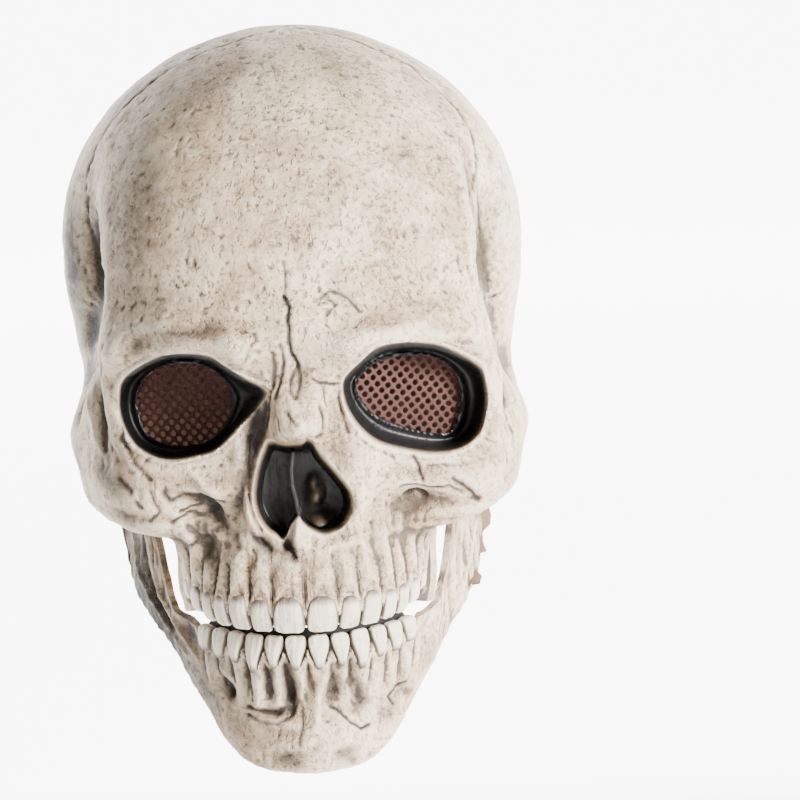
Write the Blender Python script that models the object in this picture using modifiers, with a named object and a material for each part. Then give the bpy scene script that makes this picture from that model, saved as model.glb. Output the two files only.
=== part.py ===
"""A full-head skull mask of cast latex: a skull shell with its upper teeth, a jaw shell with its lower teeth,
two eye nets glued behind the sockets, and two plain pins that carry the jaw.

Metres, +Z up. The face looks along -Y. The origin is where the wearer's crown meets the inside of the shell.
"""

import math

import bmesh
import bpy
from mathutils import Matrix, Vector

# Driving sizes of the skull. A level is a share of the height above the chin.
MASK_HEIGHT = 0.300  # chin to crown
CRANIUM_WIDTH = 0.200
FACE_DEPTH = 0.118  # crown to forehead, front to back
NAPE_DEPTH = 0.115  # crown to the back of the cranium
WALL = 0.003
RELIEF = 0.010  # how far a landform of 1 stands out
SEAT_GAP = 0.0003  # between pieces that meet

# Eye sockets, as seen from the front.
SOCKET_SPACING = 0.0915
SOCKET_LEVEL = 0.515
SOCKET_LENGTH = 0.064
SOCKET_HEIGHT = 0.047
SOCKET_DROOP = math.radians(-9)
SOCKET_SQUARENESS = 2.4
SOCKET_YAW = math.radians(22)  # how far each socket faces outwards
SOCKET_INSET = 0.040  # forehead to the middle of a socket's floor
SOCKET_FLOOR_SHARE = 0.80  # where the wall of the socket meets its floor
EYE_HOLE_SHARE = 0.68
EYE_HOLE_SHIFT = 0.0010  # towards the nose
EYE_NET_SHARE = 0.80
EYE_NET_THICKNESS = 0.0012
NET_PITCH = 0.0045  # between rows of holes, which run at 45 degrees
NET_HOLE = 0.0031

# Nose opening.
NOSE_TOP_LEVEL = 0.487
NOSE_LOW_LEVEL = 0.334
NOSE_WIDTH = 0.041
NOSE_DEPTH = 0.013
SEPTUM_THICKNESS = 0.0030

# Teeth, and the gap between the two rows.
BITE_LEVEL = 0.213  # the cutting edge of the upper front teeth
BITE_GAP = 0.0035
UPPER_TOOTH_WIDTH = 0.0136
UPPER_TOOTH_HEIGHT = 0.0140
LOWER_TOOTH_WIDTH = 0.0096
LOWER_TOOTH_HEIGHT = 0.0130
TOOTH_DEPTH = 0.0058
TOOTH_PROUD = 0.0016  # how far a tooth stands out from the gum
TOOTH_GAP = 0.0006
TOOTH_WEDGE = 0.72  # the width of a tooth's inner side, as a share of its outer side

# Jaw.
JAW_FRONT = 0.113  # crown axis to the chin
JAW_BACK = 0.004  # crown axis to the back edge of the jaw
JAW_CURVE = 0.45
JAW_LIP = 0.007  # how far the lower edge turns in
JAW_SIDE_GAP = 0.0062  # between the branches of the jaw and the skull

# Jaw pins.
PIVOT_Y = -0.0145
PIVOT_LEVEL = 0.423
PIN_RADIUS = 0.003
PIN_HEAD_RADIUS = 0.0055
PIN_HEAD_THICKNESS = 0.0014
PIN_CLEARANCE = 0.0003
PAD_RADIUS = 0.0085
SKULL_PAD_THICKNESS = 0.0034
JAW_PAD_THICKNESS = 0.0058
PAD_ROOM = 0.002  # round a pad, clear of the other shell

# Mesh fineness.
SKULL_COLUMNS = 144
SKULL_ROWS = 98
SKULL_KEPT = 0.076
DOME_ROWS = 0.33  # share of the rows that lie on the dome
FRONT_COLUMNS = 0.46  # 1 spreads the columns evenly, less crowds them at the face
JAW_COLUMNS = 88
JAW_ROWS = 22
JAW_LIP_ROWS = 3
JAW_KEPT = 0.20
ARCH_STEPS = 400
SIDE_STEPS = 8

HALF_WIDTH = CRANIUM_WIDTH / 2
CHIN_Z = WALL - MASK_HEIGHT

SKULL_SECTION_COLUMNS = ("level", "half_width", "nape_width", "front", "back", "widest", "squareness")
# half_width and nape_width are shares of half the cranium's width, front and widest of the face's depth, back of
# the nape's depth. The first row is the widest level of the cranium, and the last is the rim of the neck.
SKULL_SECTIONS = (
    (0.683, 1.000, 1.000, 1.000, 1.000, 0.00, 2.20),
    (0.633, 0.995, 0.995, 1.006, 1.004, 0.03, 2.30),
    (0.583, 0.980, 0.980, 0.985, 0.990, 0.06, 2.40),
    (0.533, 0.960, 0.960, 0.955, 0.957, 0.09, 2.45),
    (0.483, 0.950, 0.945, 0.935, 0.904, 0.13, 2.45),
    (0.433, 0.955, 0.925, 0.928, 0.835, 0.17, 2.45),
    (0.393, 0.950, 0.890, 0.932, 0.774, 0.21, 2.40),
    (0.360, 0.935, 0.880, 0.950, 0.730, 0.26, 2.30),
    (0.340, 0.860, 0.840, 0.968, 0.710, 0.35, 2.20),
    (0.325, 0.640, 0.800, 0.985, 0.700, 0.45, 2.15),
    (0.305, 0.560, 0.765, 1.000, 0.690, 0.51, 2.10),
    (0.280, 0.530, 0.740, 1.012, 0.680, 0.54, 2.10),
    (0.250, 0.515, 0.720, 1.020, 0.675, 0.55, 2.10),
    (0.222, 0.510, 0.710, 1.020, 0.675, 0.55, 2.10),
    (0.165, 0.510, 0.720, 1.020, 0.690, 0.55, 2.10),
)
GUM_LEVEL = 0.222  # the edge of the upper gum
NAPE_TURN = math.radians(40)  # how far behind the widest place a section has its nape width

LANDFORM_COLUMNS = ("name", "x", "y", "level", "reach_x", "reach_y", "reach_z", "out_x", "out_y", "out_z")
# x and reach_x are shares of half the width, y and reach_y of the face's depth (the front is negative), level
# and reach_z of the height. out_x, out_y and out_z are shares of RELIEF. A landform off the middle stands on
# both sides.
SKULL_LANDFORMS = (
    ("temple_hollow", 0.88, -0.46, 0.670, 0.30, 0.20, 0.110, -1.30, 0.10, 0.0),
    ("temple_low", 0.92, -0.36, 0.575, 0.30, 0.22, 0.050, -0.75, 0.00, 0.0),
    ("inner_brow", 0.28, -0.98, 0.598, 0.17, 0.40, 0.020, 0.00, -0.62, 0.2),
    ("middle_brow", 0.52, -0.90, 0.618, 0.18, 0.40, 0.021, 0.05, -0.60, 0.2),
    ("outer_brow", 0.76, -0.72, 0.592, 0.11, 0.30, 0.030, 0.22, -0.55, 0.0),
    ("socket_side", 0.84, -0.56, 0.530, 0.09, 0.20, 0.050, 0.12, -0.30, 0.0),
    ("nose_root", 0.00, -0.95, 0.560, 0.11, 0.40, 0.022, 0.00, 0.30, 0.0),
    ("nose_bridge", 0.00, -1.00, 0.520, 0.10, 0.40, 0.042, 0.00, -1.25, 0.0),
    ("nose_tip", 0.00, -1.05, 0.490, 0.09, 0.40, 0.020, 0.00, -0.95, 0.0),
    ("nose_side", 0.21, -0.90, 0.440, 0.08, 0.40, 0.060, 0.00, -0.45, 0.0),
    ("cheekbone", 0.70, -0.74, 0.402, 0.20, 0.26, 0.040, 0.42, -0.78, 0.0),
    ("cheek_arch", 0.97, -0.34, 0.435, 0.20, 0.30, 0.036, 0.35, 0.00, 0.0),
    ("arch_hollow", 0.95, -0.26, 0.520, 0.20, 0.16, 0.024, -0.55, 0.00, 0.0),
    ("cheek_hollow", 0.40, -0.90, 0.345, 0.16, 0.40, 0.045, 0.00, 0.75, 0.0),
    ("mastoid", 0.88, 0.20, 0.375, 0.20, 0.13, 0.050, 0.45, 0.00, 0.0),
    ("parietal_boss", 0.80, 0.35, 0.830, 0.40, 0.40, 0.110, 0.22, 0.10, 0.10),
    ("nape_ridge", 0.00, 0.92, 0.490, 0.50, 0.40, 0.040, 0.00, 0.30, 0.0),
    ("nape_hollow", 0.00, 0.80, 0.400, 0.50, 0.40, 0.050, 0.00, -0.20, 0.0),
)
JAW_LANDFORMS = (
    ("chin_boss", 0.00, -1.00, 0.045, 0.24, 0.40, 0.030, 0.00, -0.35, 0.0),
    ("chin_corner", 0.26, -0.90, 0.035, 0.10, 0.40, 0.026, 0.10, -0.25, 0.0),
    ("chin_hollow", 0.00, -1.00, 0.115, 0.40, 0.40, 0.030, 0.00, 0.45, 0.0),
    ("jaw_angle", 0.80, -0.30, 0.200, 0.30, 0.16, 0.055, 0.35, 0.00, 0.0),
    ("branch_hollow", 0.84, -0.22, 0.310, 0.30, 0.12, 0.040, -0.20, 0.00, 0.0),
)

SKULL_TRIM_COLUMNS = ("y", "level")
# What is cut away below the skull, seen from the side. y is a share of the face's depth.
SKULL_TRIM = (
    (-1.300, 0.222),
    (-0.592, 0.222),
    (-0.605, 0.270),
    (-0.660, 0.305),
    (-0.680, 0.327),
    (-0.640, 0.343),
    (-0.540, 0.350),
    (-0.400, 0.358),
    (-0.250, 0.368),
    (-0.080, 0.376),
    (0.030, 0.372),
    (0.080, 0.350),
    (0.105, 0.300),
    (0.110, 0.230),
    (0.150, 0.190),
    (0.220, 0.175),
    (1.300, 0.175),
    (1.300, 0.100),
    (-1.300, 0.100),
)

JAW_SECTION_COLUMNS = ("along", "low", "high", "tuck")
# along runs from 0 at the chin to 1 at the back edge, low and high are levels, and tuck is how much narrower
# the lower edge is than the upper one.
JAW_SECTIONS = (
    (0.00, 0.008, 0.190, 0.14),
    (0.09, 0.014, 0.190, 0.14),
    (0.20, 0.034, 0.190, 0.12),
    (0.33, 0.072, 0.190, 0.09),
    (0.44, 0.104, 0.196, 0.06),
    (0.51, 0.124, 0.240, 0.04),
    (0.58, 0.144, 0.322, 0.02),
    (0.65, 0.162, 0.392, 0.00),
    (0.74, 0.184, 0.400, 0.00),
    (0.83, 0.208, 0.400, 0.00),
    (0.90, 0.238, 0.432, 0.00),
    (0.95, 0.292, 0.452, 0.00),
    (1.00, 0.385, 0.452, 0.00),
)
JAW_FLARE = 0.09  # how much wider the top of the jaw's branches is than their angle
JAW_ANGLE_LEVEL = 0.195

TOOTH_COLUMNS = ("name", "width", "height", "lift", "taper")
# width and height are shares of the row's first tooth, lift is how far the cutting edge stands clear of the
# front teeth's, as a share of the height, and taper is the width at the gum as a share of that at the edge.
UPPER_TEETH = (
    ("middle", 1.00, 1.00, 0.00, 0.80),
    ("side", 0.70, 0.92, 0.02, 0.78),
    ("canine", 0.74, 0.98, 0.03, 0.70),
    ("front_cheek", 0.60, 0.86, 0.07, 0.75),
    ("back_cheek", 0.58, 0.82, 0.12, 0.78),
    ("front_grinder", 0.72, 0.72, 0.26, 0.80),
    ("back_grinder", 0.62, 0.58, 0.48, 0.80),
)
LOWER_TEETH = (
    ("middle", 1.00, 1.00, 0.00, 0.45),
    ("side", 0.92, 0.97, 0.00, 0.45),
    ("canine", 1.00, 1.15, 0.00, 0.50),
    ("front_cheek", 0.95, 0.92, 0.03, 0.55),
    ("back_cheek", 1.00, 0.88, 0.06, 0.60),
    ("grinder", 1.05, 0.74, 0.10, 0.70),
)


def level_z(level):
    return CHIN_Z + level * MASK_HEIGHT


def smooth_step(start, end, value):
    share = min(1.0, max(0.0, (value - start) / (end - start)))
    return share * share * (3 - 2 * share)


def column_at(rows, column, place):
    """A table's column at a place in its first column, on a smooth curve that doesn't overshoot the rows."""
    rows = sorted(rows)
    keys = [row[0] for row in rows]
    values = [row[column] for row in rows]
    if not keys[0] < place < keys[-1]:
        return values[0] if place <= keys[0] else values[-1]
    slopes = [(b - a) / (q - p) for a, b, p, q in zip(values, values[1:], keys, keys[1:])]

    def tangent(k):
        if k in (0, len(keys) - 1):
            return slopes[min(k, len(slopes) - 1)]
        left, right = slopes[k - 1], slopes[k]
        return 2 * left * right / (left + right) if left * right > 0 else 0.0

    i = max(k for k in range(len(keys) - 1) if keys[k] <= place)
    span = keys[i + 1] - keys[i]
    t = (place - keys[i]) / span
    rise = 3 * t**2 - 2 * t**3
    bow = tangent(i) * (t**3 - 2 * t**2 + t) + tangent(i + 1) * (t**3 - t**2)
    return values[i] * (1 - rise) + values[i + 1] * rise + span * bow


def stand_out(point, landforms):
    """Moves a point of the bare form by the landforms near it."""
    moved = point.copy()
    for _, x, y, level, reach_x, reach_y, reach_z, out_x, out_y, out_z in landforms:
        for side in (1, -1) if x else (1,):
            off = Vector(
                (
                    (point.x - side * x * HALF_WIDTH) / (reach_x * HALF_WIDTH),
                    (point.y - y * FACE_DEPTH) / (reach_y * FACE_DEPTH),
                    (point.z - level_z(level)) / (reach_z * MASK_HEIGHT),
                )
            )
            moved += math.exp(-off.length_squared) * RELIEF * Vector((side * out_x, out_y, out_z))
    return moved


def skull_section(level):
    """Half the width, the nape's, front, back and widest place, in metres, and the squareness of a section."""
    sizes = (HALF_WIDTH, HALF_WIDTH, FACE_DEPTH, NAPE_DEPTH, FACE_DEPTH, 1)
    return [column_at(SKULL_SECTIONS, column, level) * size for column, size in enumerate(sizes, 1)]


def section_point(section, angle):
    """A section's point at an angle from straight ahead. The section is widest at y = -widest."""
    half_width, nape_width, front, back, widest, squareness = section
    behind = smooth_step(0, NAPE_TURN, abs(angle) - math.pi / 2)
    width = half_width + (nape_width - half_width) * behind
    ahead = abs(angle) < math.pi / 2
    depth, power = (front - widest, squareness) if ahead else (back + widest, 2.0)
    across, along = abs(math.sin(angle)) / width, abs(math.cos(angle)) / depth
    radius = (across**power + along**power) ** (-1 / power)
    return math.sin(angle) * radius, -widest - math.cos(angle) * radius


def skull_side(y, level):
    """How far out the skull's skin is at a place behind its widest one."""
    section = skull_section(level)
    angle = math.pi / 2
    for _ in range(SIDE_STEPS):
        x, reached = section_point(section, angle)
        angle += (y - reached) / x
    return stand_out(Vector((x, y, level_z(level))), SKULL_LANDFORMS).x


def socket_share(x, z):
    """How far out a point lies in the nearer socket, as seen from the front. 1 is the socket's rim."""
    across, up = abs(x) - SOCKET_SPACING / 2, z - level_z(SOCKET_LEVEL)
    along = (across * math.cos(SOCKET_DROOP) + up * math.sin(SOCKET_DROOP)) / (SOCKET_LENGTH / 2)
    over = (up * math.cos(SOCKET_DROOP) - across * math.sin(SOCKET_DROOP)) / (SOCKET_HEIGHT / 2)
    return (abs(along) ** SOCKET_SQUARENESS + abs(over) ** SOCKET_SQUARENESS) ** (1 / SOCKET_SQUARENESS)


def socket_floor_y(x):
    """The flat floor of a socket faces outwards by SOCKET_YAW."""
    return SOCKET_INSET - FACE_DEPTH + (abs(x) - SOCKET_SPACING / 2) * math.tan(SOCKET_YAW)


def nose_half_width(z):
    """Half the width of the nose opening at a height: an upturned heart."""
    up = (z - level_z(NOSE_LOW_LEVEL)) / (level_z(NOSE_TOP_LEVEL) - level_z(NOSE_LOW_LEVEL))
    if not 0 < up < 1:
        return 0.0
    return NOSE_WIDTH / 2 * min(1.0, math.sqrt(up / 0.16)) * (1 - 0.62 * smooth_step(0.22, 1.0, up))


def skull_point(around, down):
    """A point of the skull's skin. around runs from -1 at the back, over 0 at the face, to 1, and down from 0 at
    the crown to 1 at the neck's rim."""
    angle = math.pi * (FRONT_COLUMNS * around + (1 - FRONT_COLUMNS) * around**3)
    first, last = SKULL_SECTIONS[0][0], SKULL_SECTIONS[-1][0]
    if down < DOME_ROWS:
        turn = down / DOME_ROWS * math.pi / 2
        z = level_z(first + (1 - first) * math.cos(turn))
        section = [size * max(math.sin(turn), 1e-6) for size in skull_section(first)[:5]]
        section.append(2 + (skull_section(first)[5] - 2) * math.sin(turn))
    else:
        level = first + (last - first) * (down - DOME_ROWS) / (1 - DOME_ROWS)
        z = level_z(level)
        section = skull_section(level)
    x, y = section_point(section, angle)
    point = stand_out(Vector((x, y, z)), SKULL_LANDFORMS)
    if abs(angle) < math.pi / 2:
        sunk = 1 - smooth_step(SOCKET_FLOOR_SHARE, 1.0, socket_share(point.x, point.z))
        point.y += sunk * (socket_floor_y(point.x) - point.y)
        room = nose_half_width(point.z)
        if room > 0:
            point.y += (1 - smooth_step(0.72, 1.0, abs(point.x) / room)) * NOSE_DEPTH
    return point


def jaw_half_width():
    """The jaw's branches run up inside the skull to the pivot."""
    return (skull_side(PIVOT_Y, PIVOT_LEVEL) - WALL - JAW_SIDE_GAP) / (1 + JAW_FLARE)


def jaw_point(around, up):
    """A point of the jaw's skin. around runs from -1 at one branch, over 0 at the chin, to 1. up is 0 at the
    lower edge, 1 at the upper one, and below 0 on the lip that turns in."""
    along = 1 - math.cos(around * math.pi / 2)
    low, high, tuck = (column_at(JAW_SECTIONS, column, along) for column in (1, 2, 3))
    level = low + (high - low) * max(up, 0.0)
    flare = JAW_FLARE * (level - JAW_ANGLE_LEVEL) / (PIVOT_LEVEL - JAW_ANGLE_LEVEL) * smooth_step(0.3, 0.7, along)
    x = math.copysign(jaw_half_width() * along**JAW_CURVE, around) * (1 + flare - tuck * (1 - max(up, 0.0)))
    y = -JAW_FRONT + (JAW_FRONT - JAW_BACK) * along
    if up < 0:
        inwards = Vector((-x, -0.35 * FACE_DEPTH - y, 0)).normalized()
        x, y = x - up * inwards.x * JAW_LIP, y - up * inwards.y * JAW_LIP
    return stand_out(Vector((x, y, level_z(level))), JAW_LANDFORMS)


def new_object(name, mesh, collection, finish=None):
    thing = bpy.data.objects.new(name, mesh)
    collection.objects.link(thing)
    if finish:
        mesh.materials.append(finish)
    return thing


def bmesh_object(name, shape, collection, finish=None):
    mesh = bpy.data.meshes.new(name)
    shape.to_mesh(mesh)
    shape.free()
    return new_object(name, mesh, collection, finish)


def skin(name, place, columns, rows, collection, finish):
    """An open skin: a grid whose points go where place(across, along) says, both from 0 to 1."""
    shape = bmesh.new()
    bmesh.ops.create_grid(shape, x_segments=columns, y_segments=rows, size=0.5)
    for vertex in shape.verts:
        vertex.co = place(vertex.co.x + 0.5, vertex.co.y + 0.5)
    bmesh.ops.remove_doubles(shape, verts=shape.verts, dist=1e-5)
    bmesh.ops.recalc_face_normals(shape, faces=shape.faces)
    return bmesh_object(name, shape, collection, finish)


def keep_share(thing, share):
    """Drops the points that a flat stretch doesn't need."""
    decimate = thing.modifiers.new("kept", "DECIMATE")
    decimate.ratio = share
    decimate.use_symmetry = True
    decimate.symmetry_axis = "X"


def give_wall(thing):
    wall = thing.modifiers.new("wall", "SOLIDIFY")
    wall.thickness = WALL
    wall.offset = -1
    wall.use_even_offset = False
    wall.use_rim = True


def boolean(thing, other, operation):
    step = thing.modifiers.new(f"{operation.lower()}_{other.name}", "BOOLEAN")
    step.operation = operation
    step.object = other
    step.solver = "EXACT"


def helper(thing):
    thing.hide_render = True
    thing.display_type = "WIRE"
    return thing


def plate(name, outline, half_thickness, place, collection, finish=None):
    """A flat plate of an outline's points, which lie in the plate's own XY plane, put at place."""
    curve = bpy.data.curves.new(name, "CURVE")
    curve.dimensions = "2D"
    curve.fill_mode = "BOTH"
    curve.extrude = half_thickness
    spline = curve.splines.new("POLY")
    spline.points.add(len(outline) - 1)
    for point, (x, y) in zip(spline.points, outline):
        point.co = (x, y, 0, 1)
    spline.use_cyclic_u = True
    drawn = new_object(name, curve, collection)
    mesh = bpy.data.meshes.new_from_object(drawn.evaluated_get(bpy.context.evaluated_depsgraph_get()))
    bpy.data.objects.remove(drawn)
    shape = bmesh.new()
    shape.from_mesh(mesh)
    bmesh.ops.remove_doubles(shape, verts=shape.verts, dist=1e-6)
    bmesh.ops.dissolve_limit(shape, angle_limit=math.radians(1), verts=shape.verts, edges=shape.edges)
    bmesh.ops.recalc_face_normals(shape, faces=shape.faces)
    made = bmesh_object(name, shape, collection, finish)
    made.matrix_world = place
    return made


def oval(length, height, squareness, points):
    """The points of an oval: 2 is an ellipse, and more is squarer."""
    power = 2 / squareness
    turns = [2 * math.pi * k / points for k in range(points)]
    return [
        (
            math.copysign(abs(math.cos(turn)) ** power * length / 2, math.cos(turn)),
            math.copysign(abs(math.sin(turn)) ** power * height / 2, math.sin(turn)),
        )
        for turn in turns
    ]


def socket_place(side, behind):
    """The frame of a socket's floor: X along the socket and outwards, Z towards the front, behind its skin."""
    yaw = Matrix.Rotation(side * SOCKET_YAW, 4, "Z")
    upright = Matrix.Rotation(math.pi / 2, 4, "X")
    droop = Matrix.Rotation(side * SOCKET_DROOP, 4, "Z")
    middle = Vector((side * SOCKET_SPACING / 2, socket_floor_y(SOCKET_SPACING / 2), level_z(SOCKET_LEVEL)))
    return Matrix.Translation(middle) @ yaw @ upright @ droop @ Matrix.Translation((0, 0, -behind))


def socket_oval(share, points):
    """A share of a socket's outline, drawn on its slanted floor."""
    return oval(share * SOCKET_LENGTH / math.cos(SOCKET_YAW), share * SOCKET_HEIGHT, SOCKET_SQUARENESS, points)


def cut_eye_holes(skull, helpers):
    for side, name in ((-1, "left"), (1, "right")):
        outline = [(x - side * EYE_HOLE_SHIFT, y) for x, y in socket_oval(EYE_HOLE_SHARE, 24)]
        hole = helper(plate(f"eye_hole_{name}", outline, 2 * WALL, socket_place(side, 0.0), helpers))
        boolean(skull, hole, "DIFFERENCE")


def prism_field(name, centres, radius, half_length, collection):
    """Square prisms along Z that stand on their corners."""
    shape = bmesh.new()
    for x, y in centres:
        bmesh.ops.create_cone(
            shape, cap_ends=True, segments=4, radius1=radius, radius2=radius, depth=2 * half_length,
            matrix=Matrix.Translation((x, y, 0)),
        )
    return bmesh_object(name, shape, collection)


def net_centres(side):
    """Where a net's holes are: every second place of a grid, inside the eye hole."""
    step = NET_PITCH / math.sqrt(2)
    hole_length = EYE_HOLE_SHARE * SOCKET_LENGTH / math.cos(SOCKET_YAW) / 2
    hole_height = EYE_HOLE_SHARE * SOCKET_HEIGHT / 2
    across, over = int(hole_length / step) + 1, int(hole_height / step) + 1
    for i in range(-across, across + 1):
        for j in range(-over, over + 1):
            share = math.hypot(i * step / hole_length, j * step / hole_height)
            if (i + j) % 2 == 0 and share < 0.98:
                yield i * step - side * EYE_HOLE_SHIFT, j * step


def add_eye_nets(parts, helpers, finish):
    for side, name in ((-1, "left"), (1, "right")):
        place = socket_place(side, WALL + SEAT_GAP + EYE_NET_THICKNESS / 2)
        net = plate(f"eye_net_{name}", socket_oval(EYE_NET_SHARE, 32), EYE_NET_THICKNESS / 2, place, parts, finish)
        holes = helper(
            prism_field(f"net_holes_{name}", net_centres(side), NET_HOLE / math.sqrt(2), EYE_NET_THICKNESS, helpers)
        )
        holes.matrix_world = place
        boolean(net, holes, "DIFFERENCE")


def add_septum(skull, helpers):
    """The upright wall in the middle of the nose, from its floor to just inside the opening."""
    low, top = level_z(NOSE_LOW_LEVEL), level_z(NOSE_TOP_LEVEL)
    shape = bmesh.new()
    bmesh.ops.create_cube(shape, size=1.0)
    septum = helper(bmesh_object("septum", shape, helpers))
    floor_y = NOSE_DEPTH + WALL / 2 - 0.955 * FACE_DEPTH
    depth = 0.75 * NOSE_DEPTH
    septum.matrix_world = Matrix.Translation((0, floor_y - depth / 2, low + 0.42 * (top - low))) @ Matrix.Diagonal(
        (SEPTUM_THICKNESS, depth, 0.80 * (top - low), 1.0)
    )
    boolean(skull, septum, "UNION")


def arch_walk(outline):
    """Distance and point along an outline, from its middle."""
    walked = 0.0
    last = Vector(outline(0))
    for step in range(1, ARCH_STEPS):
        point = Vector(outline(step / ARCH_STEPS))
        walked += (point - last).length
        yield walked, point, (point - last).normalized()
        last = point


def row_of_teeth(name, outline, teeth, first_width, first_height, edge_z, up, collection):
    """A row of tapered teeth along an outline. up is 1 where the teeth hang from above and -1 where they stand."""
    shape = bmesh.new()
    walk = list(arch_walk(outline))
    reached = 0.0
    for _, width, height, lift, taper in teeth:
        wide = width * first_width
        place = next((entry for entry in walk if entry[0] >= reached + wide / 2), walk[-1])
        reached += wide
        for side in (1, -1):
            heading = math.atan2(place[2].y, place[2].x)
            turn = Matrix.Rotation(side * heading, 4, "Z")
            tall = height * first_height
            edge = edge_z + up * lift * first_height
            made = bmesh.ops.create_cube(shape, size=1.0)
            for vertex in made["verts"]:
                at_edge = vertex.co.z * up < 0
                wedge = TOOTH_WEDGE if vertex.co.y > 0 else 1.0
                across = vertex.co.x * wedge * ((wide - TOOTH_GAP) if at_edge else wide * taper)
                inwards = vertex.co.y * TOOTH_DEPTH + TOOTH_DEPTH / 2 - (TOOTH_PROUD if at_edge else TOOTH_PROUD / 2)
                high = edge if at_edge else edge + up * tall
                middle = Vector((side * place[1].x, place[1].y, high))
                vertex.co = turn @ Vector((across, inwards, 0)) + middle
    return helper(bmesh_object(name, shape, collection))


def add_upper_teeth(skull, helpers):
    section = skull_section(GUM_LEVEL)
    row = row_of_teeth(
        "upper_teeth", lambda share: section_point(section, share * math.pi / 2),
        UPPER_TEETH, UPPER_TOOTH_WIDTH, UPPER_TOOTH_HEIGHT, level_z(BITE_LEVEL), 1, helpers,
    )
    boolean(skull, row, "UNION")


def add_lower_teeth(jaw, helpers):
    row = row_of_teeth(
        "lower_teeth", lambda share: jaw_point(share, 1.0).xy,
        LOWER_TEETH, LOWER_TOOTH_WIDTH, LOWER_TOOTH_HEIGHT, level_z(BITE_LEVEL) - BITE_GAP, -1, helpers,
    )
    boolean(jaw, row, "UNION")


def trim_skull(skull, helpers):
    outline = [(y * FACE_DEPTH, level_z(level)) for y, level in SKULL_TRIM]
    upright = Matrix(((0, 0, 1, 0), (1, 0, 0, 0), (0, 1, 0, 0), (0, 0, 0, 1)))
    cutter = helper(plate("skull_trim", outline, 1.5 * HALF_WIDTH, upright, helpers))
    boolean(skull, cutter, "DIFFERENCE")


def pivot_discs(name, radius, inner_x, outer_x, sides, collection):
    """A disc on the jaw's axis on each side, from inner_x to outer_x."""
    shape = bmesh.new()
    for side in (1, -1):
        middle = Vector((side * (inner_x + outer_x) / 2, PIVOT_Y, level_z(PIVOT_LEVEL)))
        bmesh.ops.create_cone(
            shape, cap_ends=True, segments=sides, radius1=radius, radius2=radius, depth=outer_x - inner_x,
            matrix=Matrix.Translation(middle) @ Matrix.Rotation(math.pi / 2, 4, "Y"),
        )
    return helper(bmesh_object(name, shape, collection))


def add_pivot(skull, jaw, parts, helpers, finish):
    """Pads on the skull and the jaw, bored for a pin that has a flat head at either end."""
    seat = skull_side(PIVOT_Y, PIVOT_LEVEL) - PIN_HEAD_THICKNESS
    skull_face = seat - SKULL_PAD_THICKNESS
    jaw_face = skull_face - SEAT_GAP
    jaw_back = jaw_face - JAW_PAD_THICKNESS
    bore = PIN_RADIUS + PIN_CLEARANCE
    head_room = PIN_HEAD_RADIUS + PIN_CLEARANCE
    room = PAD_RADIUS + PAD_ROOM
    deep = 4 * WALL
    skull_steps = (
        ("skull_room", "DIFFERENCE", room, skull_face - deep, skull_face + SEAT_GAP, 16),
        ("skull_pads", "UNION", PAD_RADIUS, skull_face, seat + WALL / 4, 20),
        ("head_seats", "DIFFERENCE", head_room, seat, seat + deep, 16),
        ("skull_bores", "DIFFERENCE", bore, skull_face - WALL, seat + WALL, 12),
    )
    jaw_steps = (
        ("jaw_room", "DIFFERENCE", room, jaw_face - SEAT_GAP, jaw_face + deep, 16),
        ("jaw_pads", "UNION", PAD_RADIUS, jaw_back, jaw_face, 20),
        ("pin_room", "DIFFERENCE", head_room, jaw_back - deep, jaw_back, 16),
        ("jaw_bores", "DIFFERENCE", bore, jaw_back - WALL, jaw_face + WALL, 12),
    )
    for shell, steps in ((skull, skull_steps), (jaw, jaw_steps)):
        for name, operation, radius, inner_x, outer_x, sides in steps:
            boolean(shell, pivot_discs(name, radius, inner_x, outer_x, sides, helpers), operation)
    for side, name in ((-1, "left"), (1, "right")):
        add_pin(f"jaw_pin_{name}", side, jaw_back - SEAT_GAP, seat + SEAT_GAP, parts, finish)


def add_pin(name, side, inner_x, outer_x, collection, finish):
    """A pin from head to head, turned about the jaw's axis. Its Z runs outwards."""
    shape = bmesh.new()
    low, high = -(outer_x - inner_x) / 2, (outer_x - inner_x) / 2
    profile = (
        (0.0, high + PIN_HEAD_THICKNESS),
        (PIN_HEAD_RADIUS, high + PIN_HEAD_THICKNESS),
        (PIN_HEAD_RADIUS, high),
        (PIN_RADIUS, high),
        (PIN_RADIUS, low),
        (PIN_HEAD_RADIUS, low),
        (PIN_HEAD_RADIUS, low - PIN_HEAD_THICKNESS),
        (0.0, low - PIN_HEAD_THICKNESS),
    )
    corners = [shape.verts.new((radius, 0, along)) for radius, along in profile]
    for start, end in zip(corners, corners[1:]):
        shape.edges.new((start, end))
    pin = bmesh_object(name, shape, collection, finish)
    pin.location = (side * (inner_x + outer_x) / 2, PIVOT_Y, level_z(PIVOT_LEVEL))
    pin.rotation_euler = (0, side * math.pi / 2, 0)
    turned = pin.modifiers.new("turned", "SCREW")
    turned.steps = turned.render_steps = 12
    turned.use_merge_vertices = True
    turned.merge_threshold = 0.00005


def add_skull(parts, helpers, finish):
    skull = skin(
        "skull_shell", lambda across, along: skull_point(2 * across - 1, 1 - along),
        SKULL_COLUMNS, SKULL_ROWS, parts, finish,
    )
    keep_share(skull, SKULL_KEPT)
    give_wall(skull)
    trim_skull(skull, helpers)
    cut_eye_holes(skull, helpers)
    add_septum(skull, helpers)
    add_upper_teeth(skull, helpers)
    return skull


def add_jaw(parts, helpers, finish):
    lip = JAW_LIP_ROWS / JAW_ROWS

    def place(across, along):
        up = (along - lip) / (1 - lip) if along >= lip else along / lip - 1
        return jaw_point(2 * across - 1, up)

    jaw = skin("jaw_shell", place, JAW_COLUMNS, JAW_ROWS, parts, finish)
    keep_share(jaw, JAW_KEPT)
    give_wall(jaw)
    add_lower_teeth(jaw, helpers)
    return jaw


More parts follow.
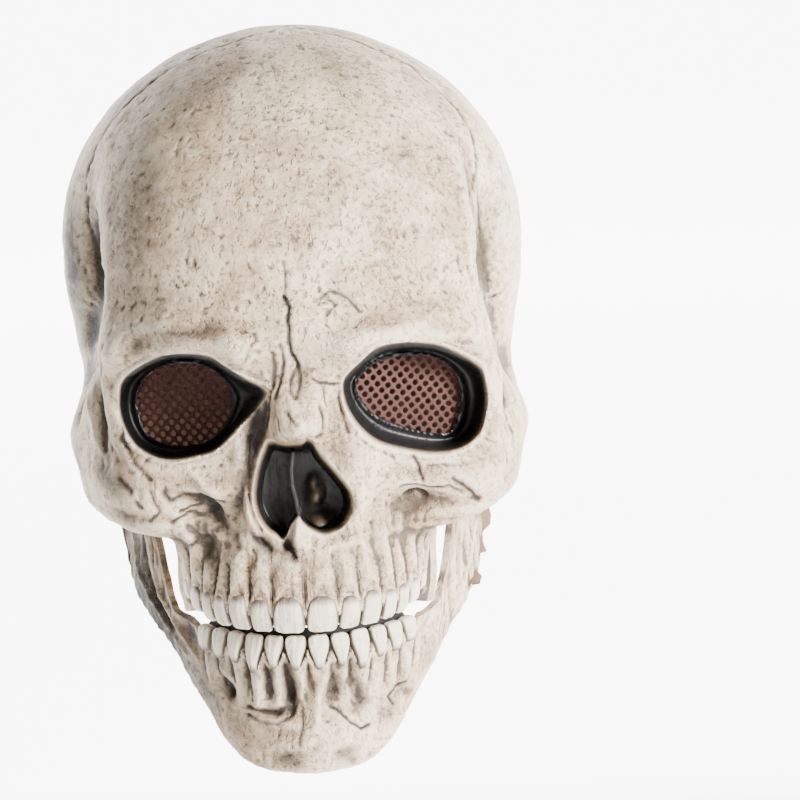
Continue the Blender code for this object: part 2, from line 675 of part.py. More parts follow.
def clear_scene():
    for thing in list(bpy.data.objects):
        bpy.data.objects.remove(thing)


def material(name, colour, roughness, metallic=0.0):
    made = bpy.data.materials.new(name)
    made.use_nodes = True
    shader = made.node_tree.nodes["Principled BSDF"]
    shader.inputs["Base Color"].default_value = (*colour, 1.0)
    shader.inputs["Roughness"].default_value = roughness
    shader.inputs["Metallic"].default_value = metallic
    return made


def main():
    clear_scene()
    parts = bpy.data.collections.new("skull_mask")
    helpers = bpy.data.collections.new("helpers")
    bpy.context.scene.collection.children.link(parts)
    bpy.context.scene.collection.children.link(helpers)
    bone = material("bone_latex", (0.62, 0.55, 0.45), 0.55)
    jaw_bone = material("jaw_latex", (0.58, 0.51, 0.41), 0.55)
    mesh_cloth = material("eye_mesh", (0.10, 0.035, 0.03), 0.8)
    pin_plastic = material("pin_plastic", (0.35, 0.32, 0.28), 0.5)
    skull = add_skull(parts, helpers, bone)
    jaw = add_jaw(parts, helpers, jaw_bone)
    add_eye_nets(parts, helpers, mesh_cloth)
    add_pivot(skull, jaw, parts, helpers, pin_plastic)


main()
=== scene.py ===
"""The looks of the skull mask: two painted latex castings, their teeth, the eye nets and the jaw's pads.

Metres, +Z up, the face looks along -Y. The forms repeat the castings' own tables of sections and landforms.
Finer landforms, grooves and paint lie over them, with painted shade in the hollows and grooves and down the
left side. A stroke, or a hill with its stains and painted shade, is placed either by two numbers, a place in
the
800 x 800 photograph that is seen through the camera, or by three, a point near the skin in metres.
"""

import math

import bmesh
import bpy
import numpy as np
from mathutils import Matrix, Quaternion, Vector, noise
from mathutils.bvhtree import BVHTree


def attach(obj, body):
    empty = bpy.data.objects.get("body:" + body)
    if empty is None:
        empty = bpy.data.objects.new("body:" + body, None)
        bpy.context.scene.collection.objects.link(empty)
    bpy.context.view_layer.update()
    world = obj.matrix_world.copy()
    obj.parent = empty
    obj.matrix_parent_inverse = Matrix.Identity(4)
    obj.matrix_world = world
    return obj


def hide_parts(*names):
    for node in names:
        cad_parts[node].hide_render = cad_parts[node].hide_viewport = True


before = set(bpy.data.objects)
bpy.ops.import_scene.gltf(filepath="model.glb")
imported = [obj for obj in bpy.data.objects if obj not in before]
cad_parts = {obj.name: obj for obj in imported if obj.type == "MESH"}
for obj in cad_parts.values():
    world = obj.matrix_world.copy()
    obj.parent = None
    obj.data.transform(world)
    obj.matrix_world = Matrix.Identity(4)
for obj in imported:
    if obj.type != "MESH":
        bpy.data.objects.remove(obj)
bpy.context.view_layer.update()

MM = 0.001

# Camera. It stands where the photograph's did, and the mask is left of the middle of the frame.
CAMERA_TARGET = Vector((0.0, -0.035, -0.147))
CAMERA_DISTANCE = 1.0
CAMERA_AZIMUTH = math.radians(0.69)
CAMERA_ELEVATION = math.radians(11)
CAMERA_ROLL = math.radians(-2.414)
CAMERA_ASIDE = (0.0437, -0.00764)  # how far right and up the camera aims past the target, for each metre
SENSOR = 36.0
LENS = 104.85
PHOTO_SIDE = 800
FOCAL = LENS / SENSOR * PHOTO_SIDE  # in the photograph's pixels

# Stage and lights.
FLOOR_Z = -0.42
GLOW = 7.0
LIGHTS_AIM = (0.0, -0.04, -0.14)
KEY_PLACE = (1.10, -1.02, 0.26)
KEY_SIZE = 0.40
KEY_POWER = 95.0
KEY_TINT = (1.0, 0.985, 0.96)
FILL_PLACE = (-0.4, -1.6, 0.2)
FILL_SIZE = 0.8
FILL_POWER = 3.0
WORLD_STRENGTH = 0.03

# Sizes of the castings. A level is a share of the height above the chin.
MASK_HEIGHT = 0.300
CRANIUM_WIDTH = 0.200
FACE_DEPTH = 0.118
NAPE_DEPTH = 0.115
WALL = 0.003
RELIEF = 0.010
SEAT_GAP = 0.0003
HALF_WIDTH = CRANIUM_WIDTH / 2
CHIN_Z = WALL - MASK_HEIGHT
NAPE_TURN = math.radians(40)

# Eye sockets and nets.
SOCKET_SPACING = 0.0915
SOCKET_LEVEL = 0.515
SOCKET_DROOP = math.radians(-9)
SOCKET_YAW = math.radians(22)
SOCKET_INSET = 0.040
SOCKET_FLOOR_SHARE = 0.30  # how much of the way from an opening to its socket's rim is flat
SOCKET_FALL = 2.4  # how steeply a socket falls from its rim
SOCKET_LIP = 0.0009
OPENING_LIP = 0.0018
NET_OVERLAP = 1.14
NET_PITCH = 0.0034
NET_HOLE_SHARE = 0.66
NET_THICKNESS = 0.0006
NET_TILT = math.radians(42)

# Nose.
NOSE_DEPTH = 0.017
SEPTUM_FRONT_Y = -0.1035
SEPTUM_DEPTH = 0.013
SEPTUM_THICKNESS = 0.0016

# Teeth.
GUM_LEVEL = 0.222
BITE_LEVEL = 0.213
BITE_GAP = 0.0035
UPPER_TOOTH_WIDTH = 0.0136
UPPER_TOOTH_HEIGHT = 0.0140
LOWER_TOOTH_WIDTH = 0.0096
LOWER_TOOTH_HEIGHT = 0.0130
TOOTH_DEPTH = 0.0058
TOOTH_PROUD = 0.0016
TOOTH_GAP = 0.0006
TOOTH_CUTS = 11
GUM_SUNK = 0.0022  # how far the skin lies back below the gum's arches
ROOT_PROUD = 0.0012
TOOTH_SQUARENESS = 4.5
UPPER_ROOTS = 0.026
LOWER_ROOTS = 0.022
# The black walls behind the rows of teeth stand in for the shade inside the mouth.
SHADE_WALL_THICKNESS = 0.0016
UPPER_SHADE_WALL_REACH = 0.62  # how much of its row of teeth a gum wall stands behind
LOWER_SHADE_WALL_REACH = 0.53
UPPER_SHADE_WALL_LEVEL = 0.262
LOWER_SHADE_WALL_LEVEL = 0.165

# Jaw and its pivot.
JAW_FRONT = 0.113
JAW_BACK = 0.004
JAW_CURVE = 0.45
JAW_LIP = 0.007
JAW_SIDE_GAP = 0.0062
JAW_FLARE = 0.09
JAW_ANGLE_LEVEL = 0.195
PIVOT_Y = -0.0145
PIVOT_LEVEL = 0.423
PIN_HEAD_RADIUS = 0.0055
PIN_HEAD_THICKNESS = 0.0014
PIN_CLEARANCE = 0.0003
PAD_RADIUS = 0.0085
SKULL_PAD_THICKNESS = 0.0034
JAW_PAD_THICKNESS = 0.0058
PAD_HOLE_RADIUS = 0.0033
PAD_EASE = 0.0006
INWARDS_DEPTH = 0.35  # the place, as a share of the face's depth, that the jaw's lip turns towards

# Mesh fineness.
SKULL_COLUMNS = 212
SKULL_ROWS = 148
DOME_ROWS = 0.29
FRONT_COLUMNS = 0.46
FACE_WINDOW = (0.60, 0.05, 0.97)  # how far round, from and to how far down the grid is twice as fine
JAW_COLUMNS = 250
JAW_ROWS = 92
JAW_LIP_SHARE = 0.10
ARCH_STEPS = 600
SIDE_STEPS = 8
THIN_WALL = 0.22  # how thick the wall is at the sockets and the nose, as a share of the rest
INNER_KEPT = 0.13  # share of the faces that the inner side of a wall keeps

SKULL_SECTION_COLUMNS = ("level", "half_width", "nape_width", "front", "back", "widest", "squareness")
SKULL_SECTIONS = (
    (0.683, 1.000, 1.000, 1.000, 1.000, 0.00, 2.20),
    (0.633, 0.995, 0.995, 1.006, 1.004, 0.03, 2.30),
    (0.583, 0.980, 0.980, 0.985, 0.990, 0.06, 2.40),
    (0.533, 0.960, 0.960, 0.955, 0.957, 0.09, 2.45),
    (0.483, 0.950, 0.945, 0.935, 0.904, 0.13, 2.45),
    (0.433, 0.955, 0.925, 0.928, 0.835, 0.17, 2.45),
    (0.393, 0.950, 0.890, 0.932, 0.774, 0.21, 2.40),
    (0.360, 0.935, 0.880, 0.950, 0.730, 0.26, 2.30),
    (0.340, 0.860, 0.840, 0.968, 0.710, 0.35, 2.20),
    (0.325, 0.640, 0.800, 0.985, 0.700, 0.45, 2.15),
    (0.305, 0.560, 0.765, 1.000, 0.690, 0.51, 2.10),
    (0.280, 0.530, 0.740, 1.012, 0.680, 0.54, 2.10),
    (0.250, 0.515, 0.720, 1.020, 0.675, 0.55, 2.10),
    (0.222, 0.510, 0.710, 1.020, 0.675, 0.55, 2.10),
    (0.165, 0.510, 0.720, 1.020, 0.690, 0.55, 2.10),
    (0.090, 0.510, 0.725, 1.020, 0.695, 0.55, 2.10),
)

LANDFORM_COLUMNS = ("name", "x", "y", "level", "reach_x", "reach_y", "reach_z", "out_x", "out_y", "out_z")
SKULL_LANDFORMS = (
    ("temple_hollow", 0.88, -0.46, 0.670, 0.30, 0.20, 0.110, -1.30, 0.10, 0.0),
    ("temple_low", 0.92, -0.36, 0.575, 0.30, 0.22, 0.050, -0.75, 0.00, 0.0),
    ("inner_brow", 0.28, -0.98, 0.598, 0.17, 0.40, 0.020, 0.00, -0.62, 0.2),
    ("middle_brow", 0.52, -0.90, 0.618, 0.18, 0.40, 0.021, 0.05, -0.60, 0.2),
    ("outer_brow", 0.76, -0.72, 0.592, 0.11, 0.30, 0.030, 0.22, -0.55, 0.0),
    ("socket_side", 0.84, -0.56, 0.530, 0.09, 0.20, 0.050, 0.12, -0.30, 0.0),
    ("nose_root", 0.00, -0.95, 0.560, 0.11, 0.40, 0.022, 0.00, 0.30, 0.0),
    ("nose_bridge", 0.00, -1.00, 0.520, 0.10, 0.40, 0.042, 0.00, -1.25, 0.0),
    ("nose_tip", 0.00, -1.05, 0.490, 0.09, 0.40, 0.020, 0.00, -0.95, 0.0),
    ("nose_side", 0.21, -0.90, 0.440, 0.08, 0.40, 0.060, 0.00, -0.45, 0.0),
    ("cheekbone", 0.70, -0.74, 0.402, 0.20, 0.26, 0.040, 0.42, -0.78, 0.0),
    ("cheek_arch", 0.97, -0.34, 0.435, 0.20, 0.30, 0.036, 0.35, 0.00, 0.0),
    ("arch_hollow", 0.95, -0.26, 0.520, 0.20, 0.16, 0.024, -0.55, 0.00, 0.0),
    ("cheek_hollow", 0.40, -0.90, 0.345, 0.16, 0.40, 0.045, 0.00, 0.75, 0.0),
    ("mastoid", 0.88, 0.20, 0.375, 0.20, 0.13, 0.050, 0.45, 0.00, 0.0),
    ("parietal_boss", 0.80, 0.35, 0.830, 0.40, 0.40, 0.110, 0.22, 0.10, 0.10),
    ("nape_ridge", 0.00, 0.92, 0.490, 0.50, 0.40, 0.040, 0.00, 0.30, 0.0),
    ("nape_hollow", 0.00, 0.80, 0.400, 0.50, 0.40, 0.050, 0.00, -0.20, 0.0),
)
JAW_LANDFORMS = (
    ("chin_boss", 0.00, -1.00, 0.045, 0.24, 0.40, 0.030, 0.00, -0.35, 0.0),
    ("chin_corner", 0.26, -0.90, 0.035, 0.10, 0.40, 0.026, 0.10, -0.25, 0.0),
    ("chin_hollow", 0.00, -1.00, 0.115, 0.40, 0.40, 0.030, 0.00, 0.45, 0.0),
    ("jaw_angle", 0.80, -0.30, 0.200, 0.30, 0.16, 0.055, 0.35, 0.00, 0.0),
    ("branch_hollow", 0.84, -0.22, 0.310, 0.30, 0.12, 0.040, -0.20, 0.00, 0.0),
)
# Smaller forms that only the surface shows.
SKULL_DETAILS = (
    ("glabella", 0.06, -1.00, 0.610, 0.07, 0.40, 0.020, 0.00, -0.12, 0.0),
    ("brow_notch", 0.30, -0.95, 0.573, 0.05, 0.40, 0.008, 0.00, 0.10, 0.0),
    ("temple_deep", 0.86, -0.52, 0.640, 0.10, 0.10, 0.070, -0.22, 0.05, 0.0),
    ("under_socket", 0.42, -0.90, 0.400, 0.10, 0.40, 0.012, 0.00, -0.16, 0.0),
    ("foramen_hollow", 0.42, -0.90, 0.372, 0.09, 0.40, 0.018, 0.00, 0.22, 0.0),
    ("cheek_edge", 0.62, -0.78, 0.352, 0.16, 0.30, 0.008, 0.00, -0.14, 0.0),
    ("nose_wing", 0.235, -0.95, 0.395, 0.03, 0.40, 0.045, 0.00, -0.10, 0.0),
    ("spine", 0.00, -1.02, 0.335, 0.035, 0.40, 0.014, 0.00, -0.25, 0.0),
)

HILL_COLUMNS = ("name", "px", "py", "long_mm", "wide_mm", "turn_deg", "out_mm", "shade")
# Hills, and hollows where out is below 0, as they are seen in the photograph. turn is the long way's angle
# from level. shade darkens the paint there: stains, and painted shade in the hollows and down the left side,
# where the light falls less.
SKULL_HILLS = (
    ("temple_left", 94, 262, 27, 5.0, 91, -5.5, 1.0),
    ("temple_left_low", 88, 330, 13, 4.0, 78, -4.0, 0.95),
    ("temple_left_strip", 72, 255, 40, 5.0, 90, 1.2, 0.85),
    ("temple_left_line", 107, 262, 24, 2.6, 91, 1.2, 0.0),
    ("temple_right", 475, 185, 15, 3.6, 100, -3.8, 0.55),
    ("temple_right_low", 487, 255, 24, 4.5, 95, -4.2, 0.40),
    ("temple_right_line", 466, 215, 24, 3.0, 97, 1.2, 0.0),
    ("temple_right_strip", 505, 230, 34, 5.0, 93, 1.2, 0.10),
    ("brow_left_hollow", 182, 333, 19, 4.2, 6, -1.9, 0.70),
    ("brow_left_hollow_out", 138, 345, 8, 4.0, 45, -1.0, 0.50),
    ("brow_left_rim", 166, 350, 18, 2.2, 6, 1.7, 0.0),
    ("brow_left_lobe", 240, 353, 13, 6.0, -48, 3.2, 0.0),
    ("brow_left_outer", 113, 352, 10, 4.5, 65, 2.0, 0.15),
    ("rim_left", 110, 408, 15, 2.6, 97, 2.2, 0.0),
    ("rim_left_groove", 101, 412, 16, 2.0, 97, -2.2, 0.90),
    ("rim_left_back", 93, 412, 16, 2.4, 95, 1.8, 0.25),
    ("rim_left_low", 128, 455, 9, 2.8, -50, 1.5, 0.0),
    ("arch_left_hollow", 79, 410, 7, 2.6, 90, -4.5, 1.0),
    ("arch_left", 71, 395, 14, 2.6, 95, 1.5, 0.70),
    ("arch_left_low", 78, 460, 10, 4.0, 110, 0.0, 0.60),
    ("cheek_left_shelf", 165, 468, 17, 3.6, -3, 1.4, 0.0),
    ("cheek_left_patch", 118, 486, 8, 6.0, -40, -0.8, 0.55),
    ("cheek_left_pits", 103, 470, 8, 4.0, -60, -0.8, 0.50),
    ("cheek_left_swell", 150, 508, 20, 5.0, -5, 2.2, 0.0),
    ("cheek_left_edge", 145, 528, 17, 2.2, -2, 1.6, 0.0),
    ("cheek_left_dent", 124, 513, 6, 3.0, -25, -1.2, 0.55),
    ("cheek_left_fold", 192, 498, 10, 2.2, -18, -1.6, 0.75),
    ("cheek_left_ridge", 205, 486, 12, 2.6, -45, 1.6, 0.0),
    ("fossa_left", 215, 513, 10, 3.6, -58, -3.2, 0.90),
    ("fossa_left_low", 208, 545, 12, 4.0, -78, -2.6, 0.80),
    ("buttress_left", 190, 538, 14, 2.0, -60, 1.6, 0.10),
    ("nose_left_flank", 253, 438, 22, 4.6, 84, -3.4, 0.90),
    ("nose_left_flank_low", 240, 492, 18, 4.0, 78, -2.2, 0.75),
    ("wing_left", 249, 512, 9, 1.7, -72, 2.0, 0.0),
    ("nasal_left", 281, 415, 12, 3.4, 84, 1.6, 0.0),
    ("nasal_right", 322, 412, 14, 5.0, 100, 1.6, 0.0),
    ("root_of_nose", 300, 385, 9, 5.0, 90, -1.2, 0.45),
    ("glabella", 322, 343, 10, 7.0, 0, 1.0, 0.20),
    ("brow_right_lobe", 348, 348, 12, 5.0, 38, 2.0, 0.0),
    ("brow_right_hollow", 425, 318, 22, 4.0, 0, -1.0, 0.15),
    ("brow_right_rim", 425, 336, 22, 2.6, 2, 2.0, 0.0),
    ("brow_right_tail", 482, 352, 12, 3.4, -52, 1.8, 0.0),
    ("rim_right", 496, 402, 17, 3.0, 90, 2.0, 0.0),
    ("arch_right_hollow", 505, 392, 6, 1.8, 92, -3.4, 0.90),
    ("arch_right", 517, 408, 14, 2.8, 95, 2.0, 0.10),
    ("cheek_right_shelf", 420, 462, 17, 3.2, 2, 1.2, 0.0),
    ("cheek_right_swell", 482, 480, 15, 7.0, 25, 2.4, 0.0),
    ("cheek_right_edge", 458, 508, 15, 2.6, 3, 2.0, 0.05),
    ("cheek_right_fold", 436, 498, 12, 3.0, -8, -1.2, 0.30),
    ("fossa_right", 410, 506, 8, 5.0, 10, -3.0, 0.42),
    ("fossa_right_low", 424, 538, 10, 3.4, 80, -1.8, 0.35),
    ("buttress_right", 443, 545, 14, 2.2, 78, 1.6, 0.10),
    ("canine_right", 384, 548, 15, 3.4, 92, 1.8, 0.0),
    ("canine_left", 234, 560, 13, 2.6, 88, 1.6, 0.0),
    ("wing_right", 362, 500, 12, 3.6, 70, 1.4, 0.0),
    ("sill_right", 340, 545, 10, 2.2, 14, 1.4, 0.0),
    ("spine", 298, 530, 6, 2.0, 88, 2.6, 0.0),
    ("spine_left_pit", 286, 545, 5, 2.2, 75, -2.0, 0.85),
    ("wing_left_pit", 263, 543, 5, 2.0, -30, -1.6, 0.80),
    ("forehead_left_shade", 130, 225, 46, 17, 85, 0.0, 0.50),
    ("forehead_top_shade", 210, 80, 32, 12, 25, 0.0, 0.45),
    ("forehead_crown_shade", 340, 65, 28, 10, -20, 0.0, 0.42),
    ("forehead_patch_1", 350, 275, 12, 7, 20, 0.0, 0.22),
    ("forehead_patch_2", 300, 145, 16, 9, 0, 0.0, 0.14),
    ("forehead_low_left", 165, 300, 18, 8, -10, 0.0, 0.30),
)
# A hill's shade darkens the paint: stains, and painted shade in the hollows and down the left side, away from
# the light.
JAW_HILLS = (
    ("chin", 312, 738, 13, 8.0, 0, 1.6, 0.0),
    ("middle_column", 317, 708, 10, 2.6, 90, 1.8, 0.0),
    ("column_left_arm", 303, 682, 7, 2.0, -62, 1.6, 0.0),
    ("column_right_arm", 325, 680, 7, 2.0, 55, 1.6, 0.0),
    ("hollow_left", 291, 694, 7, 2.6, 82, -2.2, 0.85),
    ("hollow_right", 336, 690, 6, 3.6, 60, -2.2, 0.75),
    ("hollow_far_left", 246, 672, 8, 2.2, 85, -1.4, 0.70),
    ("hollow_far_right", 358, 697, 7, 2.4, 80, -1.6, 0.55),
    ("root_left", 258, 682, 11, 2.4, 88, 1.4, 0.0),
    ("root_left_in", 276, 682, 8, 2.0, 88, 1.2, 0.10),
    ("root_right", 368, 690, 13, 3.2, 95, 1.8, 0.0),
    ("root_far_right", 386, 675, 9, 3.0, 92, 0.9, 0.0),
    ("curl_lip", 272, 723, 11, 1.8, -6, 1.6, 0.0),
    ("curl_hollow", 275, 712, 6, 2.2, 0, -1.8, 0.70),
    ("curl_top", 276, 704, 7, 1.4, 0, 1.2, 0.0),
    ("hole_left", 229, 690, 5, 2.2, -62, -2.6, 0.85),
    ("hole_right", 408, 691, 4, 2.6, 32, -1.4, 0.45),
    ("right_hollow", 385, 712, 8, 4.0, 10, -0.8, 0.40),
    ("chin_pit_left", 286, 757, 7, 3.0, 8, -1.4, 0.70),
    ("chin_pit_middle", 316, 747, 4, 2.0, 60, -0.8, 0.55),
    ("chin_pit_right", 347, 751, 7, 2.6, 0, -1.0, 0.55),
    ("left_swell", 236, 728, 14, 5.0, -50, 1.2, 0.0),
    ("left_side_shade", 160, 625, 34, 10, -52, 0.0, 0.85),
    ("left_branch_shade", 140, 560, 26, 12, -75, 0.0, 0.70),
    ("left_low_shade", 205, 685, 22, 8, -50, 0.0, 0.60),
    ("left_teeth_shade", 215, 655, 12, 6, -40, -0.8, 0.60),
    ("left_corner_hollow", 188, 632, 9, 3.6, -55, -2.4, 0.80),
    ("right_branch_hollow", 470, 565, 18, 4.0, 100, -1.2, 0.15),
    ("right_jaw_swell", 430, 650, 18, 8.0, 55, 1.2, 0.0),
)

SKULL_TRIM_COLUMNS = ("y", "level")
SKULL_TRIM = (
    (-1.300, 0.222),
    (-0.592, 0.222),
    (-0.605, 0.270),
    (-0.660, 0.305),
    (-0.680, 0.327),
    (-0.640, 0.343),
    (-0.540, 0.350),
    (-0.400, 0.358),
    (-0.250, 0.368),
    (-0.080, 0.376),
    (0.030, 0.372),
    (0.080, 0.350),
    (0.105, 0.300),
    (0.110, 0.230),
    (0.150, 0.150),
    (0.200, 0.110),
    (0.300, 0.100),
    (0.420, 0.112),
    (0.520, 0.150),
    (0.600, 0.175),
    (1.300, 0.175),
    (1.300, 0.050),
    (-1.300, 0.050),
)

OUTLINE_COLUMNS = ("px", "py")
# The rims of the sockets and of the openings on their floors, and the rim of the nose.
LEFT_SOCKET = (
    (118, 393), (118, 409), (122, 425), (129, 438), (137, 448), (150, 456), (163, 460), (177, 460),
    (196, 456), (213, 451), (227, 440), (238, 428), (250, 416), (260, 404), (267, 391), (247, 379),
    (226, 366), (212, 357), (200, 354), (184, 353), (165, 354), (152, 359), (140, 365), (127, 374),
    (120, 383),
)
LEFT_OPENING = (
    (138, 395), (140, 415), (149, 434), (165, 443), (188, 445), (210, 440), (225, 425), (232, 405),
    (228, 385), (212, 370), (190, 363), (165, 366), (147, 377),
)
RIGHT_SOCKET = (
    (343, 379), (360, 361), (377, 347), (400, 342), (420, 342), (440, 345), (461, 354), (476, 363),
    (484, 373), (488, 395), (486, 415), (479, 434), (461, 448), (436, 453), (407, 450), (379, 443),
    (362, 431), (350, 415), (343, 398),
)
RIGHT_OPENING = (
    (356, 384), (363, 373), (380, 361), (407, 355), (434, 358), (450, 368), (459, 386), (459, 406),
    (452, 429), (436, 433), (407, 427), (386, 420), (370, 411), (359, 397),
)
NOSE_RIM = (
    (268, 440), (284, 442), (301, 441), (307, 437), (313, 440), (317, 447), (324, 457), (334, 468),
    (345, 481), (352, 491), (355, 504), (353, 514), (345, 527), (335, 533), (324, 536), (311, 531),
    (303, 524), (298, 518), (291, 526), (283, 541), (274, 536), (265, 530), (257, 518), (252, 501),
    (253, 482), (257, 463), (262, 449),
)
LEFT_MIDDLE = (188, 405)
RIGHT_MIDDLE = (410, 395)
NOSE_MIDDLE = (300, 490)
SEPTUM = ((293, 452), (291, 470), (292, 486), (296, 502), (299, 520))
# The curled bones inside the nose. Their last column thins the black paint over them, a painted grey sheen.
NOSE_HILLS = (
    ("curled_bone", 316, 494, 4.0, 2.6, 70, 5.0, 0.22),
    ("curled_bone_top", 313, 480, 2.6, 1.6, 70, 3.5, 0.12),
    ("floor_right", 321, 522, 5.0, 3.4, 0, 6.0, 0.20),
    ("floor_left", 276, 528, 3.0, 2.4, -40, 3.0, 0.02),
)

JAW_SECTION_COLUMNS = ("along", "low", "high", "tuck")
JAW_SECTIONS = (
    (0.00, 0.008, 0.190, 0.14),
    (0.09, 0.014, 0.190, 0.14),
    (0.20, 0.034, 0.190, 0.12),
    (0.33, 0.072, 0.190, 0.09),
    (0.44, 0.104, 0.196, 0.06),
    (0.51, 0.124, 0.240, 0.04),
    (0.58, 0.144, 0.322, 0.02),
    (0.65, 0.162, 0.392, 0.00),
    (0.74, 0.184, 0.400, 0.00),
    (0.83, 0.208, 0.400, 0.00),
    (0.90, 0.238, 0.432, 0.00),
    (0.95, 0.292, 0.452, 0.00),
    (1.00, 0.385, 0.452, 0.00),
)

TOOTH_COLUMNS = ("name", "width", "height", "lift", "taper", "edge")
# edge is how thick the cutting edge is, as a share of the tooth's depth.
UPPER_TEETH = (
    ("middle", 1.00, 1.00, 0.00, 0.52, 0.30),
    ("side", 0.70, 0.92, 0.02, 0.50, 0.30),
    ("canine", 0.74, 0.98, 0.03, 0.45, 0.35),
    ("front_cheek", 0.60, 0.86, 0.07, 0.48, 0.60),
    ("back_cheek", 0.58, 0.82, 0.12, 0.52, 0.70),
    ("front_grinder", 0.72, 0.72, 0.26, 0.60, 0.85),
    ("back_grinder", 0.62, 0.58, 0.48, 0.60, 0.85),
)
LOWER_TEETH = (
    ("middle", 1.00, 1.00, 0.00, 0.34, 0.45),
    ("side", 0.92, 0.97, 0.00, 0.32, 0.45),
    ("canine", 1.00, 1.15, 0.00, 0.36, 0.45),
    ("front_cheek", 0.95, 0.92, 0.03, 0.42, 0.65),
    ("back_cheek", 1.00, 0.88, 0.06, 0.50, 0.75),
    ("grinder", 1.05, 0.74, 0.10, 0.60, 0.85),
)

STROKE_COLUMNS = ("name", "reach_mm", "depth_mm", "dirt_and_shade", "wander_mm", "points")
